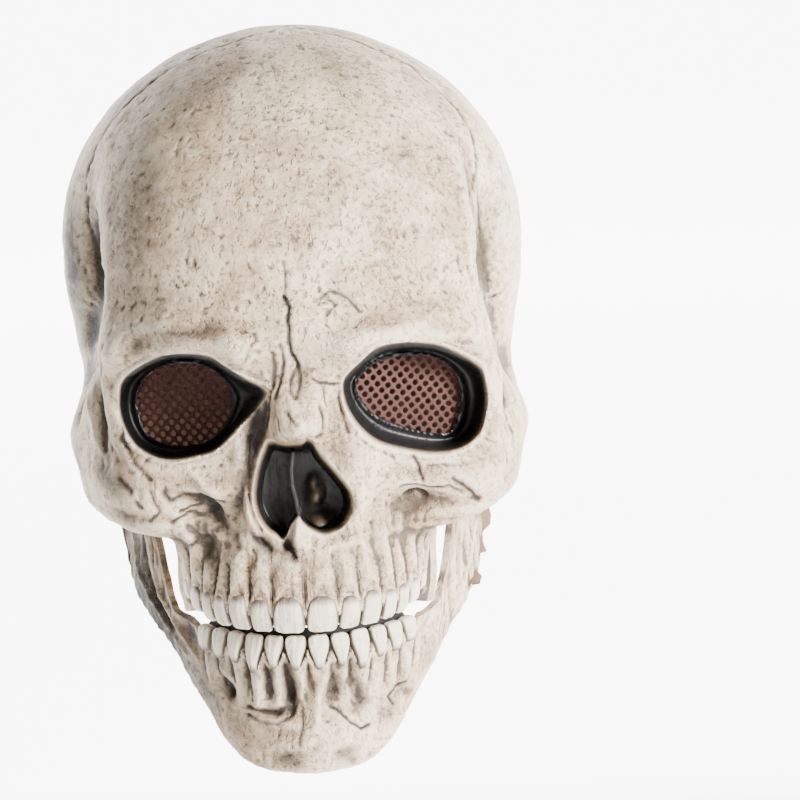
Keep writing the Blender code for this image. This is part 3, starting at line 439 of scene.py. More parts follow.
# A groove where depth is above 0 and a ridge where it is below. The fourth column darkens the paint along a
# stroke: dirty paint with painted shade in the cracks.
SKULL_STROKES = (
    ("brow_crack", 0.9, 1.3, 1.0, 0.5, (284, 298), (289, 308), (287, 318), (288, 332), (289, 345),
     (293, 356), (298, 366)),
    ("brow_crack_top", 0.7, 0.5, 0.6, 0.6, (284, 262), (286, 280), (284, 298)),
    ("bridge_seam", 0.6, 0.8, 0.9, 0.5, (313, 378), (320, 383), (330, 384), (344, 384)),
    ("bridge_slit_1", 0.6, 0.6, 0.7, 0.4, (324, 386), (322, 396), (324, 406)),
    ("bridge_slit_2", 0.7, 0.8, 0.8, 0.4, (343, 385), (339, 398), (342, 412), (348, 432)),
    ("bridge_slit_3", 0.6, 0.8, 0.9, 0.4, (317, 407), (320, 417), (322, 428)),
    ("bridge_slit_4", 0.6, 0.6, 0.7, 0.4, (287, 412), (291, 419), (297, 426)),
    ("bridge_slit_5", 0.6, 0.6, 0.7, 0.4, (277, 410), (280, 420), (281, 430)),
    ("bridge_island_1", 0.7, 0.7, 0.8, 0.4, (297, 368), (291, 378), (289, 390), (294, 398)),
    ("bridge_island_2", 0.7, 0.7, 0.8, 0.4, (298, 368), (301, 380), (296, 396)),
    ("bridge_fold_1", 0.9, 0.7, 0.8, 0.5, (272, 352), (275, 370), (272, 388), (266, 410)),
    ("bridge_fold_2", 0.8, 0.8, 0.9, 0.5, (280, 345), (284, 362), (281, 380), (276, 398)),
    ("bridge_fold_3", 0.9, 0.9, 1.0, 0.4, (263, 388), (264, 402), (260, 425), (256, 450)),
    ("bridge_fold_4", 0.9, 0.8, 0.9, 0.4, (268, 392), (268, 410), (262, 435), (258, 455)),
    ("bridge_fold_5", 0.8, 0.8, 1.0, 0.4, (256, 392), (256, 410), (251, 440), (247, 470)),
    ("cheek_crack_down", 0.7, 1.0, 1.0, 0.5, (413, 456), (418, 463), (420, 472), (424, 481)),
    ("cheek_crack_long", 0.7, 0.9, 0.8, 0.6, (402, 487), (416, 485), (432, 488), (447, 485), (460, 488),
     (477, 499)),
    ("cheek_crack_slash", 0.8, 1.3, 1.0, 0.3, (453, 479), (462, 484), (470, 489), (478, 498)),
    ("cheek_crack_side", 0.5, 0.5, 0.6, 0.4, (428, 466), (445, 466), (470, 464), (496, 456)),
    ("foramen", 1.3, 2.0, 1.0, 0.2, (407, 497), (412, 493), (418, 492), (424, 497)),
    ("left_cheek_crack_1", 0.7, 1.0, 1.0, 0.8, (174, 520), (180, 516), (190, 512), (204, 515), (218, 508)),
    ("left_cheek_crack_2", 0.7, 0.9, 0.9, 0.8, (180, 509), (198, 506), (212, 500), (226, 502)),
    ("left_cheek_crack_3", 0.7, 0.7, 0.8, 0.8, (150, 492), (156, 500), (160, 510), (150, 522)),
    ("left_cheek_pit_1", 1.2, 0.9, 0.8, 0.6, (118, 478), (124, 486), (130, 492)),
    ("left_cheek_pit_2", 1.0, 0.9, 0.9, 0.6, (136, 500), (142, 506)),
    ("left_cheek_pit_3", 1.2, 1.1, 0.9, 0.6, (164, 492), (170, 500), (178, 498)),
    ("left_cheek_ring", 1.4, 0.8, 0.7, 0.5, (188, 527), (196, 534), (198, 541), (188, 545)),
    ("left_side_fold_1", 1.1, 0.9, 0.8, 0.4, (104, 345), (100, 380), (104, 415), (113, 450)),
    ("left_side_fold_2", 1.0, 0.9, 0.8, 0.4, (116, 400), (124, 440), (138, 465), (150, 480)),
    ("left_side_ridge", 1.4, -0.9, 0.0, 0.4, (92, 345), (92, 400), (98, 440), (106, 462)),
    ("left_rim_crack", 0.5, 0.6, 0.7, 0.5, (128, 434), (136, 436), (144, 444)),
    ("nose_wing_ridge", 1.2, -1.2, 0.0, 0.2, (245, 494), (246, 508), (251, 520), (257, 534)),
    ("nose_wing_groove", 0.8, 0.8, 0.8, 0.2, (249, 497), (251, 508), (256, 520), (261, 530)),
    ("root_hollow_1", 2.4, 1.2, 0.9, 0.4, (256, 538), (264, 545), (270, 552)),
    ("root_hollow_2", 1.6, 1.5, 1.0, 0.3, (287, 543), (291, 550), (293, 558)),
    ("root_hollow_3", 1.6, 0.8, 0.8, 0.4, (236, 536), (239, 548)),
    ("coronal_left", 0.9, 1.0, 1.0, 1.3, (84, 196), (87, 168), (96, 146), (108, 127), (118, 113), (136, 95),
     (158, 77), (175, 66), (190, 59), (215, 48), (247, 37), (277, 30)),
    ("coronal_right", 0.9, 1.0, 0.9, 1.3, (277, 30), (308, 29), (325, 33), (354, 41), (392, 57), (411, 66),
     (421, 76), (434, 87), (457, 109), (470, 131), (478, 160), (479, 185)),
    ("temple_line_left", 1.6, -0.8, 0.0, 0.5, (93, 205), (102, 232), (106, 262), (106, 290), (101, 318)),
    ("temple_line_right", 1.6, -0.8, 0.0, 0.5, (468, 168), (464, 200), (466, 240), (474, 280)),
    ("temple_seam_left", 0.8, 0.9, 0.9, 0.8, (84, 196), (84, 225), (88, 250), (98, 285), (103, 305)),
    ("temple_seam_right", 0.8, 0.9, 0.9, 0.8, (479, 185), (484, 215), (490, 250), (494, 280)),
    ("temple_scar_left", 0.8, 0.7, 0.8, 0.7, (76, 248), (82, 270), (88, 300)),
    ("forehead_ring", 0.6, 0.5, 0.7, 0.1, (195, 262), (193, 267), (188, 267), (185, 262), (188, 257),
     (193, 257), (195, 262)),
    ("forehead_star_1", 0.6, 0.5, 0.6, 0.3, (178, 276), (184, 284)),
    ("forehead_star_2", 0.6, 0.5, 0.6, 0.3, (172, 280), (178, 288)),
    ("brow_worm_left_1", 0.8, 0.6, 0.7, 0.8, (245, 356), (248, 348), (256, 350), (259, 352)),
    ("brow_worm_left_2", 0.8, 0.6, 0.6, 0.8, (250, 345), (257, 340), (254, 334)),
    ("brow_worm_right_1", 0.8, 0.6, 0.7, 0.9, (320, 298), (332, 290), (342, 296), (352, 304), (358, 312)),
    ("brow_worm_right_2", 0.7, 0.6, 0.7, 0.9, (318, 305), (330, 300), (338, 306), (326, 314)),
    ("sagittal", 0.9, 0.9, 0.9, 2.0, (0.0, -0.02, 0.003), (0.0, 0.05, -0.01), (0.0, 0.10, -0.05),
     (0.0, 0.113, -0.075)),
    ("lambdoid_left", 0.9, 0.9, 0.9, 2.2, (0.0, 0.113, -0.075), (-0.05, 0.10, -0.105),
     (-0.085, 0.06, -0.145)),
    ("lambdoid_right", 0.9, 0.9, 0.9, 2.2, (0.0, 0.113, -0.075), (0.05, 0.10, -0.105),
     (0.085, 0.06, -0.145)),
    ("squamous_left", 0.9, 0.9, 0.9, 1.2, (-0.092, -0.045, -0.115), (-0.098, -0.015, -0.095),
     (-0.10, 0.02, -0.100), (-0.095, 0.055, -0.140)),
    ("squamous_right", 0.9, 0.9, 0.9, 1.2, (0.092, -0.045, -0.115), (0.098, -0.015, -0.095),
     (0.10, 0.02, -0.100), (0.095, 0.055, -0.140)),
    ("nape_line", 2.0, -0.8, 0.0, 1.0, (-0.06, 0.085, -0.170), (0.0, 0.105, -0.163), (0.06, 0.085, -0.170)),
)
JAW_STROKES = (
    ("curl_groove_1", 0.9, 1.0, 0.9, 0.3, (248, 706), (262, 711), (276, 713), (286, 707), (287, 698)),
    ("curl_groove_2", 0.9, 0.8, 0.7, 0.3, (248, 715), (262, 722), (278, 724), (292, 716), (298, 702),
     (294, 692)),
    ("curl_ridge", 1.3, -1.0, 0.0, 0.2, (256, 706), (270, 709), (283, 703)),
    ("chin_crease", 0.7, 0.9, 0.8, 0.3, (331, 705), (342, 713), (350, 722), (361, 729), (370, 724)),
    ("hole_left", 2.4, 2.0, 0.9, 0.3, (224, 682), (228, 692)),
    ("hole_right_1", 0.7, 0.9, 0.9, 0.2, (394, 704), (388, 697), (396, 686), (406, 681)),
    ("hole_right_2", 1.8, 0.7, 0.5, 0.2, (396, 695), (402, 689)),
    ("middle_hollow_1", 2.4, 1.3, 0.8, 0.4, (268, 672), (271, 690)),
    ("middle_hollow_2", 2.6, 1.3, 0.9, 0.4, (287, 668), (290, 690), (292, 705)),
    ("middle_hollow_3", 2.4, 1.2, 0.8, 0.4, (336, 665), (334, 680)),
    ("middle_hollow_4", 2.2, 1.2, 0.8, 0.4, (350, 660), (354, 680), (362, 700)),
    ("middle_seam", 0.7, 0.6, 0.7, 0.5, (301, 700), (304, 725), (300, 745)),
    ("chin_pit_1", 2.2, 0.6, 0.7, 0.6, (282, 762), (296, 764)),
    ("chin_pit_2", 2.2, 0.6, 0.7, 0.6, (340, 756), (352, 760)),
    ("left_rib_1", 1.7, -1.5, 0.0, 0.3, (134, 520), (138, 560), (150, 595), (168, 625), (185, 650)),
    ("left_rib_2", 1.6, -1.5, 0.0, 0.3, (149, 535), (153, 565), (163, 598), (180, 630), (196, 655)),
    ("left_rib_groove", 1.5, 1.3, 1.0, 0.3, (142, 530), (146, 565), (157, 598), (173, 628)),
    ("left_branch_hollow", 4.0, 1.6, 1.0, 0.3, (158, 540), (166, 565), (180, 590)),
    ("left_branch_fold", 1.2, 1.0, 0.9, 0.3, (122, 530), (128, 565), (138, 600), (150, 625)),
    ("right_branch_rib", 1.6, -1.2, 0.0, 0.3, (474, 520), (472, 555), (464, 585), (452, 612)),
    ("right_branch_fold_1", 0.9, 0.8, 0.7, 0.5, (484, 530), (486, 550), (484, 575)),
    ("right_branch_fold_2", 0.9, 0.8, 0.7, 0.5, (492, 528), (494, 548), (490, 570)),
    ("right_branch_fold_3", 0.9, 0.6, 0.6, 0.5, (480, 585), (470, 610), (458, 640)),
)


def level_z(level):
    return CHIN_Z + level * MASK_HEIGHT


def smooth_step(start, end, value):
    share = np.clip((value - start) / (end - start), 0.0, 1.0)
    return share * share * (3 - 2 * share)


def column_at(rows, column, place):
    """A table's column at places in its first column, on a smooth curve that doesn't overshoot the rows."""
    rows = np.array([[row[0], row[column]] for row in rows])
    keys, values = rows[np.argsort(rows[:, 0])].T
    slopes = np.diff(values) / np.diff(keys)
    left, right = slopes[:-1], slopes[1:]
    inner = np.where(left * right > 0, 2 * left * right / np.where(left * right > 0, left + right, 1.0), 0.0)
    tangents = np.concatenate((slopes[:1], inner, slopes[-1:]))
    i = np.clip(np.searchsorted(keys, place, side="right") - 1, 0, len(keys) - 2)
    span = keys[i + 1] - keys[i]
    t = np.clip((place - keys[i]) / span, 0.0, 1.0)
    rise = 3 * t**2 - 2 * t**3
    bow = tangents[i] * (t**3 - 2 * t**2 + t) + tangents[i + 1] * (t**3 - t**2)
    return values[i] * (1 - rise) + values[i + 1] * rise + span * bow


def stand_out(points, landforms):
    """Points of the bare form, moved by the landforms near them."""
    moved = points.copy()
    for _, x, y, level, reach_x, reach_y, reach_z, out_x, out_y, out_z in landforms:
        for side in (1, -1) if x else (1,):
            middle = np.array((side * x * HALF_WIDTH, y * FACE_DEPTH, level_z(level)))
            reach = np.array((reach_x * HALF_WIDTH, reach_y * FACE_DEPTH, reach_z * MASK_HEIGHT))
            near = np.exp(-(((points - middle) / reach) ** 2).sum(1))
            moved += near[:, None] * RELIEF * np.array((side * out_x, out_y, out_z))
    return moved


def skull_section(level):
    sizes = (HALF_WIDTH, HALF_WIDTH, FACE_DEPTH, NAPE_DEPTH, FACE_DEPTH, 1)
    return [column_at(SKULL_SECTIONS, column, level) * size for column, size in enumerate(sizes, 1)]


def section_point(section, angle):
    """A section's points at angles from straight ahead. The section is widest at y = -widest."""
    half_width, nape_width, front, back, widest, squareness = section
    behind = smooth_step(0, NAPE_TURN, abs(angle) - math.pi / 2)
    width = half_width + (nape_width - half_width) * behind
    ahead = abs(angle) < math.pi / 2
    depth = np.where(ahead, front - widest, back + widest)
    power = np.where(ahead, squareness, 2.0)
    across, along = abs(np.sin(angle)) / width, abs(np.cos(angle)) / depth
    radius = (across**power + along**power) ** (-1 / power)
    return np.sin(angle) * radius, -widest - np.cos(angle) * radius


def skull_side(y, level):
    """How far out the skull's skin is at a place behind its widest one."""
    section = skull_section(level)
    angle = math.pi / 2
    for _ in range(SIDE_STEPS):
        x, reached = section_point(section, angle)
        angle += (y - reached) / x
    return stand_out(np.array([(x, y, level_z(level))], float), SKULL_LANDFORMS)[0, 0]


def socket_floor_y(x):
    return SOCKET_INSET - FACE_DEPTH + (abs(x) - SOCKET_SPACING / 2) * math.tan(SOCKET_YAW)


def smooth_outline(corners, points_each):
    """A closed smooth curve through corners."""
    count = len(corners)
    curve = []
    for i in range(count):
        p0, p1, p2, p3 = (np.array(corners[(i + k - 1) % count], float) for k in range(4))
        for t in np.linspace(0, 1, points_each, endpoint=False):
            bend = (2 * p0 - 5 * p1 + 4 * p2 - p3) * t**2 + (3 * p1 - p0 - 3 * p2 + p3) * t**3
            curve.append(tuple(0.5 * (2 * p1 + (p2 - p0) * t + bend)))
    return curve


def rim_reach(places, middle, rim):
    """How far places of the photograph are from the middle of a rim, and how far the rim is that way."""
    curve = np.array(smooth_outline(rim, 5)) - middle
    turns = np.arctan2(curve[:, 1], curve[:, 0])
    order = np.argsort(turns)
    away = places - middle
    turn = np.arctan2(away[:, 1], away[:, 0])
    reach = np.interp(turn, turns[order], np.hypot(*curve.T)[order], period=2 * math.pi)
    return np.hypot(*away.T), reach


def socket_share(points, left):
    """0 at the rim of an eye opening, 1 at its socket's rim, as seen in the photograph."""
    middle = LEFT_MIDDLE if left else RIGHT_MIDDLE
    places = photo_places(points)
    away, opening = rim_reach(places, middle, LEFT_OPENING if left else RIGHT_OPENING)
    _, socket = rim_reach(places, middle, LEFT_SOCKET if left else RIGHT_SOCKET)
    share = (away - opening) / (socket - opening)
    near = (points[:, 1] < -0.03) & ((points[:, 0] < 0) == left)
    return np.where(near, share, 9.0)


def nose_share(points):
    away, rim = rim_reach(photo_places(points), NOSE_MIDDLE, NOSE_RIM)
    return np.where(points[:, 1] < -0.03, away / rim, 9.0)


def push_in(points, share, depth_y):
    """Moves points away from the camera, along their lines of sight, towards a depth."""
    eye = np.array(camera_turn()[0])
    ray = points - eye
    reach = (depth_y - eye[1]) / ray[:, 1]
    return points + share[:, None] * (reach - 1)[:, None] * ray


def skull_skin(around, down):
    """Points of the skull's skin. around runs from -1 at the back, over 0 at the face, to 1, and down from 0
    at the crown to 1 at the neck's rim."""
    angle = math.pi * (FRONT_COLUMNS * around + (1 - FRONT_COLUMNS) * around**3)
    first, last = SKULL_SECTIONS[0][0], SKULL_SECTIONS[-1][0]
    on_dome = down < DOME_ROWS
    turn = np.clip(down / DOME_ROWS, 0, 1) * math.pi / 2
    level = np.where(on_dome, first, first + (last - first) * (down - DOME_ROWS) / (1 - DOME_ROWS))
    section = skull_section(level)
    shrink = np.where(on_dome, np.maximum(np.sin(turn), 1e-6), 1.0)
    section = [size * shrink for size in section[:5]] + [2 + (section[5] - 2) * shrink]
    x, y = section_point(section, angle)
    z = np.where(on_dome, level_z(first + (1 - first) * np.cos(turn)), level_z(level))
    return stand_out(np.stack((x, y, z), 1), SKULL_LANDFORMS + SKULL_DETAILS)


def sink_hollows(points, nose, sockets):
    """Sinks the sockets and the nose into the skin."""
    for share in sockets:
        fall = np.clip((1 - share) / (1 - SOCKET_FLOOR_SHARE), 0, 1)
        lip = OPENING_LIP * np.exp(-(((share - 0.10) / 0.10) ** 2))
        floor = socket_floor_y(points[:, 0]) - lip
        points = push_in(points, 1 - (1 - fall) ** SOCKET_FALL, floor)
        points[:, 1] -= SOCKET_LIP * np.exp(-(((share - 1.12) / 0.10) ** 2))
    hollow = 1 - smooth_step(0.78, 1.0, nose)
    return push_in(points, hollow, points[:, 1] + NOSE_DEPTH)


def jaw_half_width():
    return (skull_side(PIVOT_Y, PIVOT_LEVEL) - WALL - JAW_SIDE_GAP) / (1 + JAW_FLARE)


def jaw_skin(around, up):
    """Points of the jaw's skin. around runs from -1 at one branch, over 0 at the chin, to 1. up is 0 at the
    lower edge, 1 at the upper one, and below 0 on the lip that turns in."""
    along = 1 - np.cos(around * math.pi / 2)
    low, high, tuck = (column_at(JAW_SECTIONS, column, along) for column in (1, 2, 3))
    risen = np.maximum(up, 0.0)
    level = low + (high - low) * risen
    above_angle = (level - JAW_ANGLE_LEVEL) / (PIVOT_LEVEL - JAW_ANGLE_LEVEL)
    flare = JAW_FLARE * above_angle * smooth_step(0.3, 0.7, along)
    x = np.copysign(jaw_half_width() * along**JAW_CURVE, around) * (1 + flare - tuck * (1 - risen))
    y = -JAW_FRONT + (JAW_FRONT - JAW_BACK) * along
    inwards = np.stack((-x, -INWARDS_DEPTH * FACE_DEPTH - y), 1)
    inwards /= np.linalg.norm(inwards, axis=1)[:, None]
    turned = np.minimum(up, 0.0) * JAW_LIP
    points = np.stack((x - turned * inwards[:, 0], y - turned * inwards[:, 1], level_z(level)), 1)
    return stand_out(points, JAW_LANDFORMS)


def camera_turn():
    """The camera's place and rotation: it faces the target, rolls, and then aims a little past it."""
    flat = math.cos(CAMERA_ELEVATION)
    rise = math.sin(CAMERA_ELEVATION)
    back = Vector((math.sin(CAMERA_AZIMUTH) * flat, -math.cos(CAMERA_AZIMUTH) * flat, rise))
    level = Quaternion(back, CAMERA_ROLL) @ (-back).to_track_quat("-Z", "Y")
    right, up = level @ Vector((1, 0, 0)), level @ Vector((0, 1, 0))
    ahead = (CAMERA_ASIDE[0] * right + CAMERA_ASIDE[1] * up - back).normalized()
    aside = ahead.cross(up).normalized()
    turn = Matrix((aside, aside.cross(ahead), -ahead)).transposed()
    return CAMERA_TARGET + back * CAMERA_DISTANCE, turn


def sight_line(turn, px, py):
    """The way to a place of the photograph from the camera."""
    return turn @ Vector(((px - PHOTO_SIDE / 2) / FOCAL, (PHOTO_SIDE / 2 - py) / FOCAL, -1))


def photo_places(points):
    """Where points are seen in the photograph."""
    eye, turn = camera_turn()
    seen = (points - np.array(eye)) @ np.array(turn)
    return PHOTO_SIDE / 2 + FOCAL * np.stack((-seen[:, 0], seen[:, 1]), 1) / seen[:, 2:]


def on_skin(tree, point):
    """Where a place of the photograph, or the nearest place to a point, lies on a skin."""
    if len(point) == 3:
        return tree.find_nearest(Vector(point))[0]
    eye, turn = camera_turn()
    return tree.ray_cast(eye, sight_line(turn, *point).normalized())[0]


def ripple(points, size, seed=0.0, stretch=(1.0, 1.0, 1.0)):
    """Smooth noise from -1 to 1 at points, with bumps of about this size."""
    scaled = points / (np.array(stretch) * size) + seed
    return np.array([noise.noise(Vector(place)) for place in scaled])


def wander_field(points):
    """A direction at each point that bends a straight stroke into a natural one."""
    fine = [ripple(points, 0.0035, seed) for seed in (3.1, 17.7, 41.3)]
    broad = [ripple(points, 0.009, seed) for seed in (5.9, 23.3, 57.1)]
    return np.stack(fine, 1) * 1.1 + np.stack(broad, 1) * 0.9


def from_segment(points, start, end):
    run = end - start
    share = np.clip(((points - start) @ run) / max(run @ run, 1e-12), 0, 1)
    return np.linalg.norm(points - start - share[:, None] * run, axis=1)


def carve(points, wander, strokes, tree):
    """The height that strokes give to points of a skin, and their dark paint: dirty paint with painted shade.
    """
    height, dirt_and_shade = np.zeros(len(points)), np.zeros(len(points))
    for _, reach, depth, grime_and_shade, waver, *places in strokes:
        path = [np.array(place) for place in (on_skin(tree, place) for place in places) if place is not None]
        if len(path) < 2:
            continue
        reach, margin = reach * MM, 4 * reach * MM + waver * MM
        corners = np.array(path)
        near = np.flatnonzero(
            ((points > corners.min(0) - margin) & (points < corners.max(0) + margin)).all(1)
        )
        bent = points[near] + wander[near] * waver * MM
        away = np.full(len(near), np.inf)
        for start, end in zip(path, path[1:]):
            away = np.minimum(away, from_segment(bent, start, end))
        height[near] -= depth * MM * np.exp(-((away / reach) ** 2))
        # Dark paint along the strokes: dirty paint with painted shade in the cracks.
        dirt_and_shade[near] = np.maximum(dirt_and_shade[near], grime_and_shade * np.exp(-((away / (1.25 * reach)) ** 2)))
    return height, dirt_and_shade


def raise_hills(points, hills, tree):
    """The height, and the stains with painted shade, that hills and hollows give to points of a skin."""
    height, shade = np.zeros(len(points)), np.zeros(len(points))
    right, up, back = np.array(camera_turn()[1]).T
    for _, px, py, long, wide, turn, out, dark in hills:
        middle = on_skin(tree, (px, py))
        if middle is None:
            continue
        turn = math.radians(turn)
        away = (points - np.array(middle)) / MM
        along = away @ (right * math.cos(turn) + up * math.sin(turn)) / long
        over = away @ (up * math.cos(turn) - right * math.sin(turn)) / wide
        deep = away @ back / (0.7 * (long + wide))
        near = np.exp(-(along**2) - over**2 - deep**2)
        height += out * MM * near
        shade = 1 - (1 - shade) * (1 - dark * near)
    return height, shade


def worn(shape, points, out, rounds):
    """How far points stand out, above 0, or lie back, below 0, from the skin around them."""
    ends = np.array([[vertex.index for vertex in edge.verts] for edge in shape.edges])
    one, other = np.concatenate((ends, ends[:, ::-1])).T
    degree = np.maximum(np.bincount(one, minlength=len(points)), 1)
    smooth = points.copy()
    for _ in range(rounds):
        near = [np.bincount(one, smooth[other, axis], minlength=len(points)) for axis in range(3)]
        smooth = 0.5 * smooth + 0.5 * np.stack(near, 1) / degree[:, None]
    return ((points - smooth) * out).sum(1)


def tooth_row(outline, teeth, first_width):
    """Each tooth of half a row: its row in the table, and the place, heading and distance of its middle."""
    shares = np.linspace(0, 1, ARCH_STEPS)
    points = outline(shares)
    steps = np.linalg.norm(np.diff(points, axis=0), axis=1)
    walked = np.concatenate(([0.0], np.cumsum(steps)))
    reached = 0.0
    for row in teeth:
        middle = reached + row[1] * first_width / 2
        reached += row[1] * first_width
        place = np.array([np.interp(middle, walked, points[:, axis]) for axis in (0, 1)])
        ahead = np.array([np.interp(middle + MM, walked, points[:, axis]) for axis in (0, 1)]) - place
        yield row, place, math.atan2(ahead[1], ahead[0]), middle


def upper_outline(shares):
    section = [np.full(len(shares), size) for size in skull_section(np.array([GUM_LEVEL]))]
    x, y = section_point(section, shares * math.pi / 2)
    return np.stack((x, y), 1)


def lower_outline(shares):
    return jaw_skin(np.maximum(shares, 1e-6), np.ones(len(shares)))[:, :2]


def arch_distance(outline, points):
    """How far round a row of teeth points lie, from its middle, and how far they are from the row."""
    curve = outline(np.linspace(0, 1, ARCH_STEPS))
    walked = np.concatenate(([0.0], np.cumsum(np.linalg.norm(np.diff(curve, axis=0), axis=1))))
    sides = np.stack((abs(points[:, 0]), points[:, 1]), 1)
    nearest = np.empty(len(points), int)
    for start in range(0, len(points), 4000):
        part = sides[start:start + 4000]
        nearest[start:start + 4000] = ((part[:, None] - curve[None, ::4]) ** 2).sum(2).argmin(1) * 4
    return walked[nearest], np.linalg.norm(sides - curve[nearest], axis=1)


def gums(points, outline, teeth, first_width, first_height, edge_z, up, root_height):
    """The scalloped edge of the gums and the ridges of the roots beyond it: height, and dark paint along the
    edge of the gums, in the creases between the roots and on the skin behind the teeth, dirty paint with
    painted shade.
    """
    height, dirt_and_shade = np.zeros(len(points)), np.zeros(len(points))
    beyond = (points[:, 2] - edge_z) * up
    near = np.flatnonzero((points[:, 1] < -0.02) & (beyond > -0.008) & (beyond < root_height + 0.03))
    walked, away = arch_distance(outline, points[near])
    rise = beyond[near]
    bulge, edge, crease = np.zeros(len(near)), np.full(len(near), 0.004), np.zeros(len(near))
    for row, _, _, middle in tooth_row(outline, teeth, first_width):
        half, tall = row[1] * first_width / 2, row[2] * first_height
        across = (walked - middle) / half
        arch = tall * (0.96 - 0.52 * abs(across) ** 2.0) + row[3] * first_height
        here = abs(across) <= 1
        edge = np.where(here, arch, edge)
        bulge = np.where(here, np.cos(np.clip(across, -1, 1) * math.pi / 2), bulge)
        crease = np.where(here, smooth_step(0.66, 1.0, abs(across)), crease)
        row_end = middle + half
    out = rise - edge
    close = (1 - smooth_step(0.018, 0.030, away)) * (1 - smooth_step(row_end, row_end + 0.004, walked))
    over = smooth_step(-0.0002, 0.0010, out)
    fade = smooth_step(0.003, 0.008, out) * (1 - smooth_step(root_height * 0.55, root_height, out))
    root = ROOT_PROUD * (bulge - 0.5) * 2 * fade
    between = 0.0008 * (1 - bulge) * over * (1 - smooth_step(0.004, 0.010, out))
    below = GUM_SUNK * (1 - smooth_step(-0.0012, 0.0002, out))
    rolled = 0.0006 * np.exp(-(((out - 0.0013) / 0.0009) ** 2))
    height[near] = (root - below + rolled + between) * close
    # Painted shade, with dirty paint, along the edge of the gums, in the creases between the roots and on the
    # skin behind the teeth.
    dark_line = np.exp(-(((out + 0.0003) / 0.0007) ** 2))
    under = 1 - smooth_step(-0.0016, -0.0004, out)
    dirt_and_shade[near] = np.maximum(np.maximum(dark_line, crease * fade * 0.7), under) * close
    return height, dirt_and_shade


def coordinates(shape):
    return np.array([vertex.co for vertex in shape.verts])


def put(shape, points):
    for vertex, point in zip(shape.verts, points.tolist()):
        vertex.co = point


def keep_value(shape, name, values):
    layer = shape.verts.layers.float.get(name) or shape.verts.layers.float.new(name)
    for vertex, value in zip(shape.verts, values.tolist()):
        vertex[layer] = value


def normals(shape):
    shape.normal_update()
    return np.array([vertex.normal for vertex in shape.verts])


def inside_outline(points, outline):
    """Which points lie inside a closed outline."""
    inside = np.zeros(len(points), bool)
    for (x0, y0), (x1, y1) in zip(outline, outline[1:] + outline[:1]):
        if y0 == y1:
            continue
        crosses = (points[:, 1] > min(y0, y1)) & (points[:, 1] <= max(y0, y1))
        reached = x0 + (points[:, 1] - y0) * (x1 - x0) / (y1 - y0)
        inside ^= crosses & (points[:, 0] < reached)
    return inside


def middles(shape):
    return np.array([face.calc_center_median() for face in shape.faces])


def cut_out(shape, outline, place, depth, margin=0.004):
    """Cuts a skin along an outline drawn in a frame's XY plane, and deletes what lies within it, up to a depth
    on either side of that plane."""
    back = place.inverted()
    turn = place.to_3x3()
    flat = middles(shape) @ np.array(back.to_3x3()).T + np.array(back.translation)
    near_edge = np.zeros(len(flat), bool)
    corners = [np.array(corner) for corner in outline]
    for start, end in zip(corners, corners[1:] + corners[:1]):
        near_edge |= from_segment(flat[:, :2], start, end) < margin
    near_edge &= abs(flat[:, 2]) < depth
    shape.faces.ensure_lookup_table()
    pool = {shape.faces[i] for i in np.flatnonzero(near_edge)}
    for start, end in zip(corners, corners[1:] + corners[:1]):
        run = end - start
        length = np.linalg.norm(run)
        if length < 1e-9:
            continue
        chosen = []
        for face in pool:
            x, y = (back @ face.calc_center_median()).xy
            if from_segment(np.array([(x, y)]), start, end)[0] < margin:
                chosen.append(face)
        if not chosen:
            continue
        edges = {edge for face in chosen for edge in face.edges}
        verts = {vertex for face in chosen for vertex in face.verts}
        cut = bmesh.ops.bisect_plane(
            shape, geom=list(verts) + list(edges) + chosen, dist=1e-6,
            plane_co=place @ Vector((*start, 0)), plane_no=turn @ Vector((-run[1], run[0], 0)),
        )
        pool |= {item for item in cut["geom"] if isinstance(item, bmesh.types.BMFace)}
    flat = middles(shape) @ np.array(back.to_3x3()).T + np.array(back.translation)
    lost = inside_outline(flat[:, :2], outline) & (abs(flat[:, 2]) < depth)
    shape.faces.ensure_lookup_table()
    bmesh.ops.delete(shape, geom=[shape.faces[i] for i in np.flatnonzero(lost)], context="FACES")


def socket_place(side, behind):
    """The frame of a socket's floor: X along the socket, Z towards the front. It lies behind the skin."""
    yaw = Matrix.Rotation(side * SOCKET_YAW, 4, "Z")
    upright = Matrix.Rotation(math.pi / 2, 4, "X")
    droop = Matrix.Rotation(side * SOCKET_DROOP, 4, "Z")
    middle = Vector((side * SOCKET_SPACING / 2, socket_floor_y(SOCKET_SPACING / 2), level_z(SOCKET_LEVEL)))
    return Matrix.Translation(middle) @ yaw @ upright @ droop @ Matrix.Translation((0, 0, -behind))


def new_piece(name, shape, finishes, body, slot, *replaced):
    """A piece of the mask from a finished bmesh: it rides on a body, and may stand for CAD nodes."""
    mesh = bpy.data.meshes.new(name)
    shape.to_mesh(mesh)
    shape.free()
    for finish in finishes:
        mesh.materials.append(finish)
    mesh.shade_smooth()
    piece = bpy.data.objects.new(name, mesh)
    bpy.context.scene.collection.objects.link(piece)
    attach(piece, body)
    if replaced:
        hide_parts(*replaced)
    return piece


def settle(piece):
    """Applies a piece's modifiers."""
    evaluated = piece.evaluated_get(bpy.context.evaluated_depsgraph_get())
    mesh = bpy.data.meshes.new_from_object(evaluated)
    piece.modifiers.clear()
    piece.data = mesh


def set_weights(piece, name, weights):
    group = piece.vertex_groups.get(name) or piece.vertex_groups.new(name=name)
    for index, weight in enumerate(weights.tolist()):
        group.add([index], weight, "REPLACE")
    return group


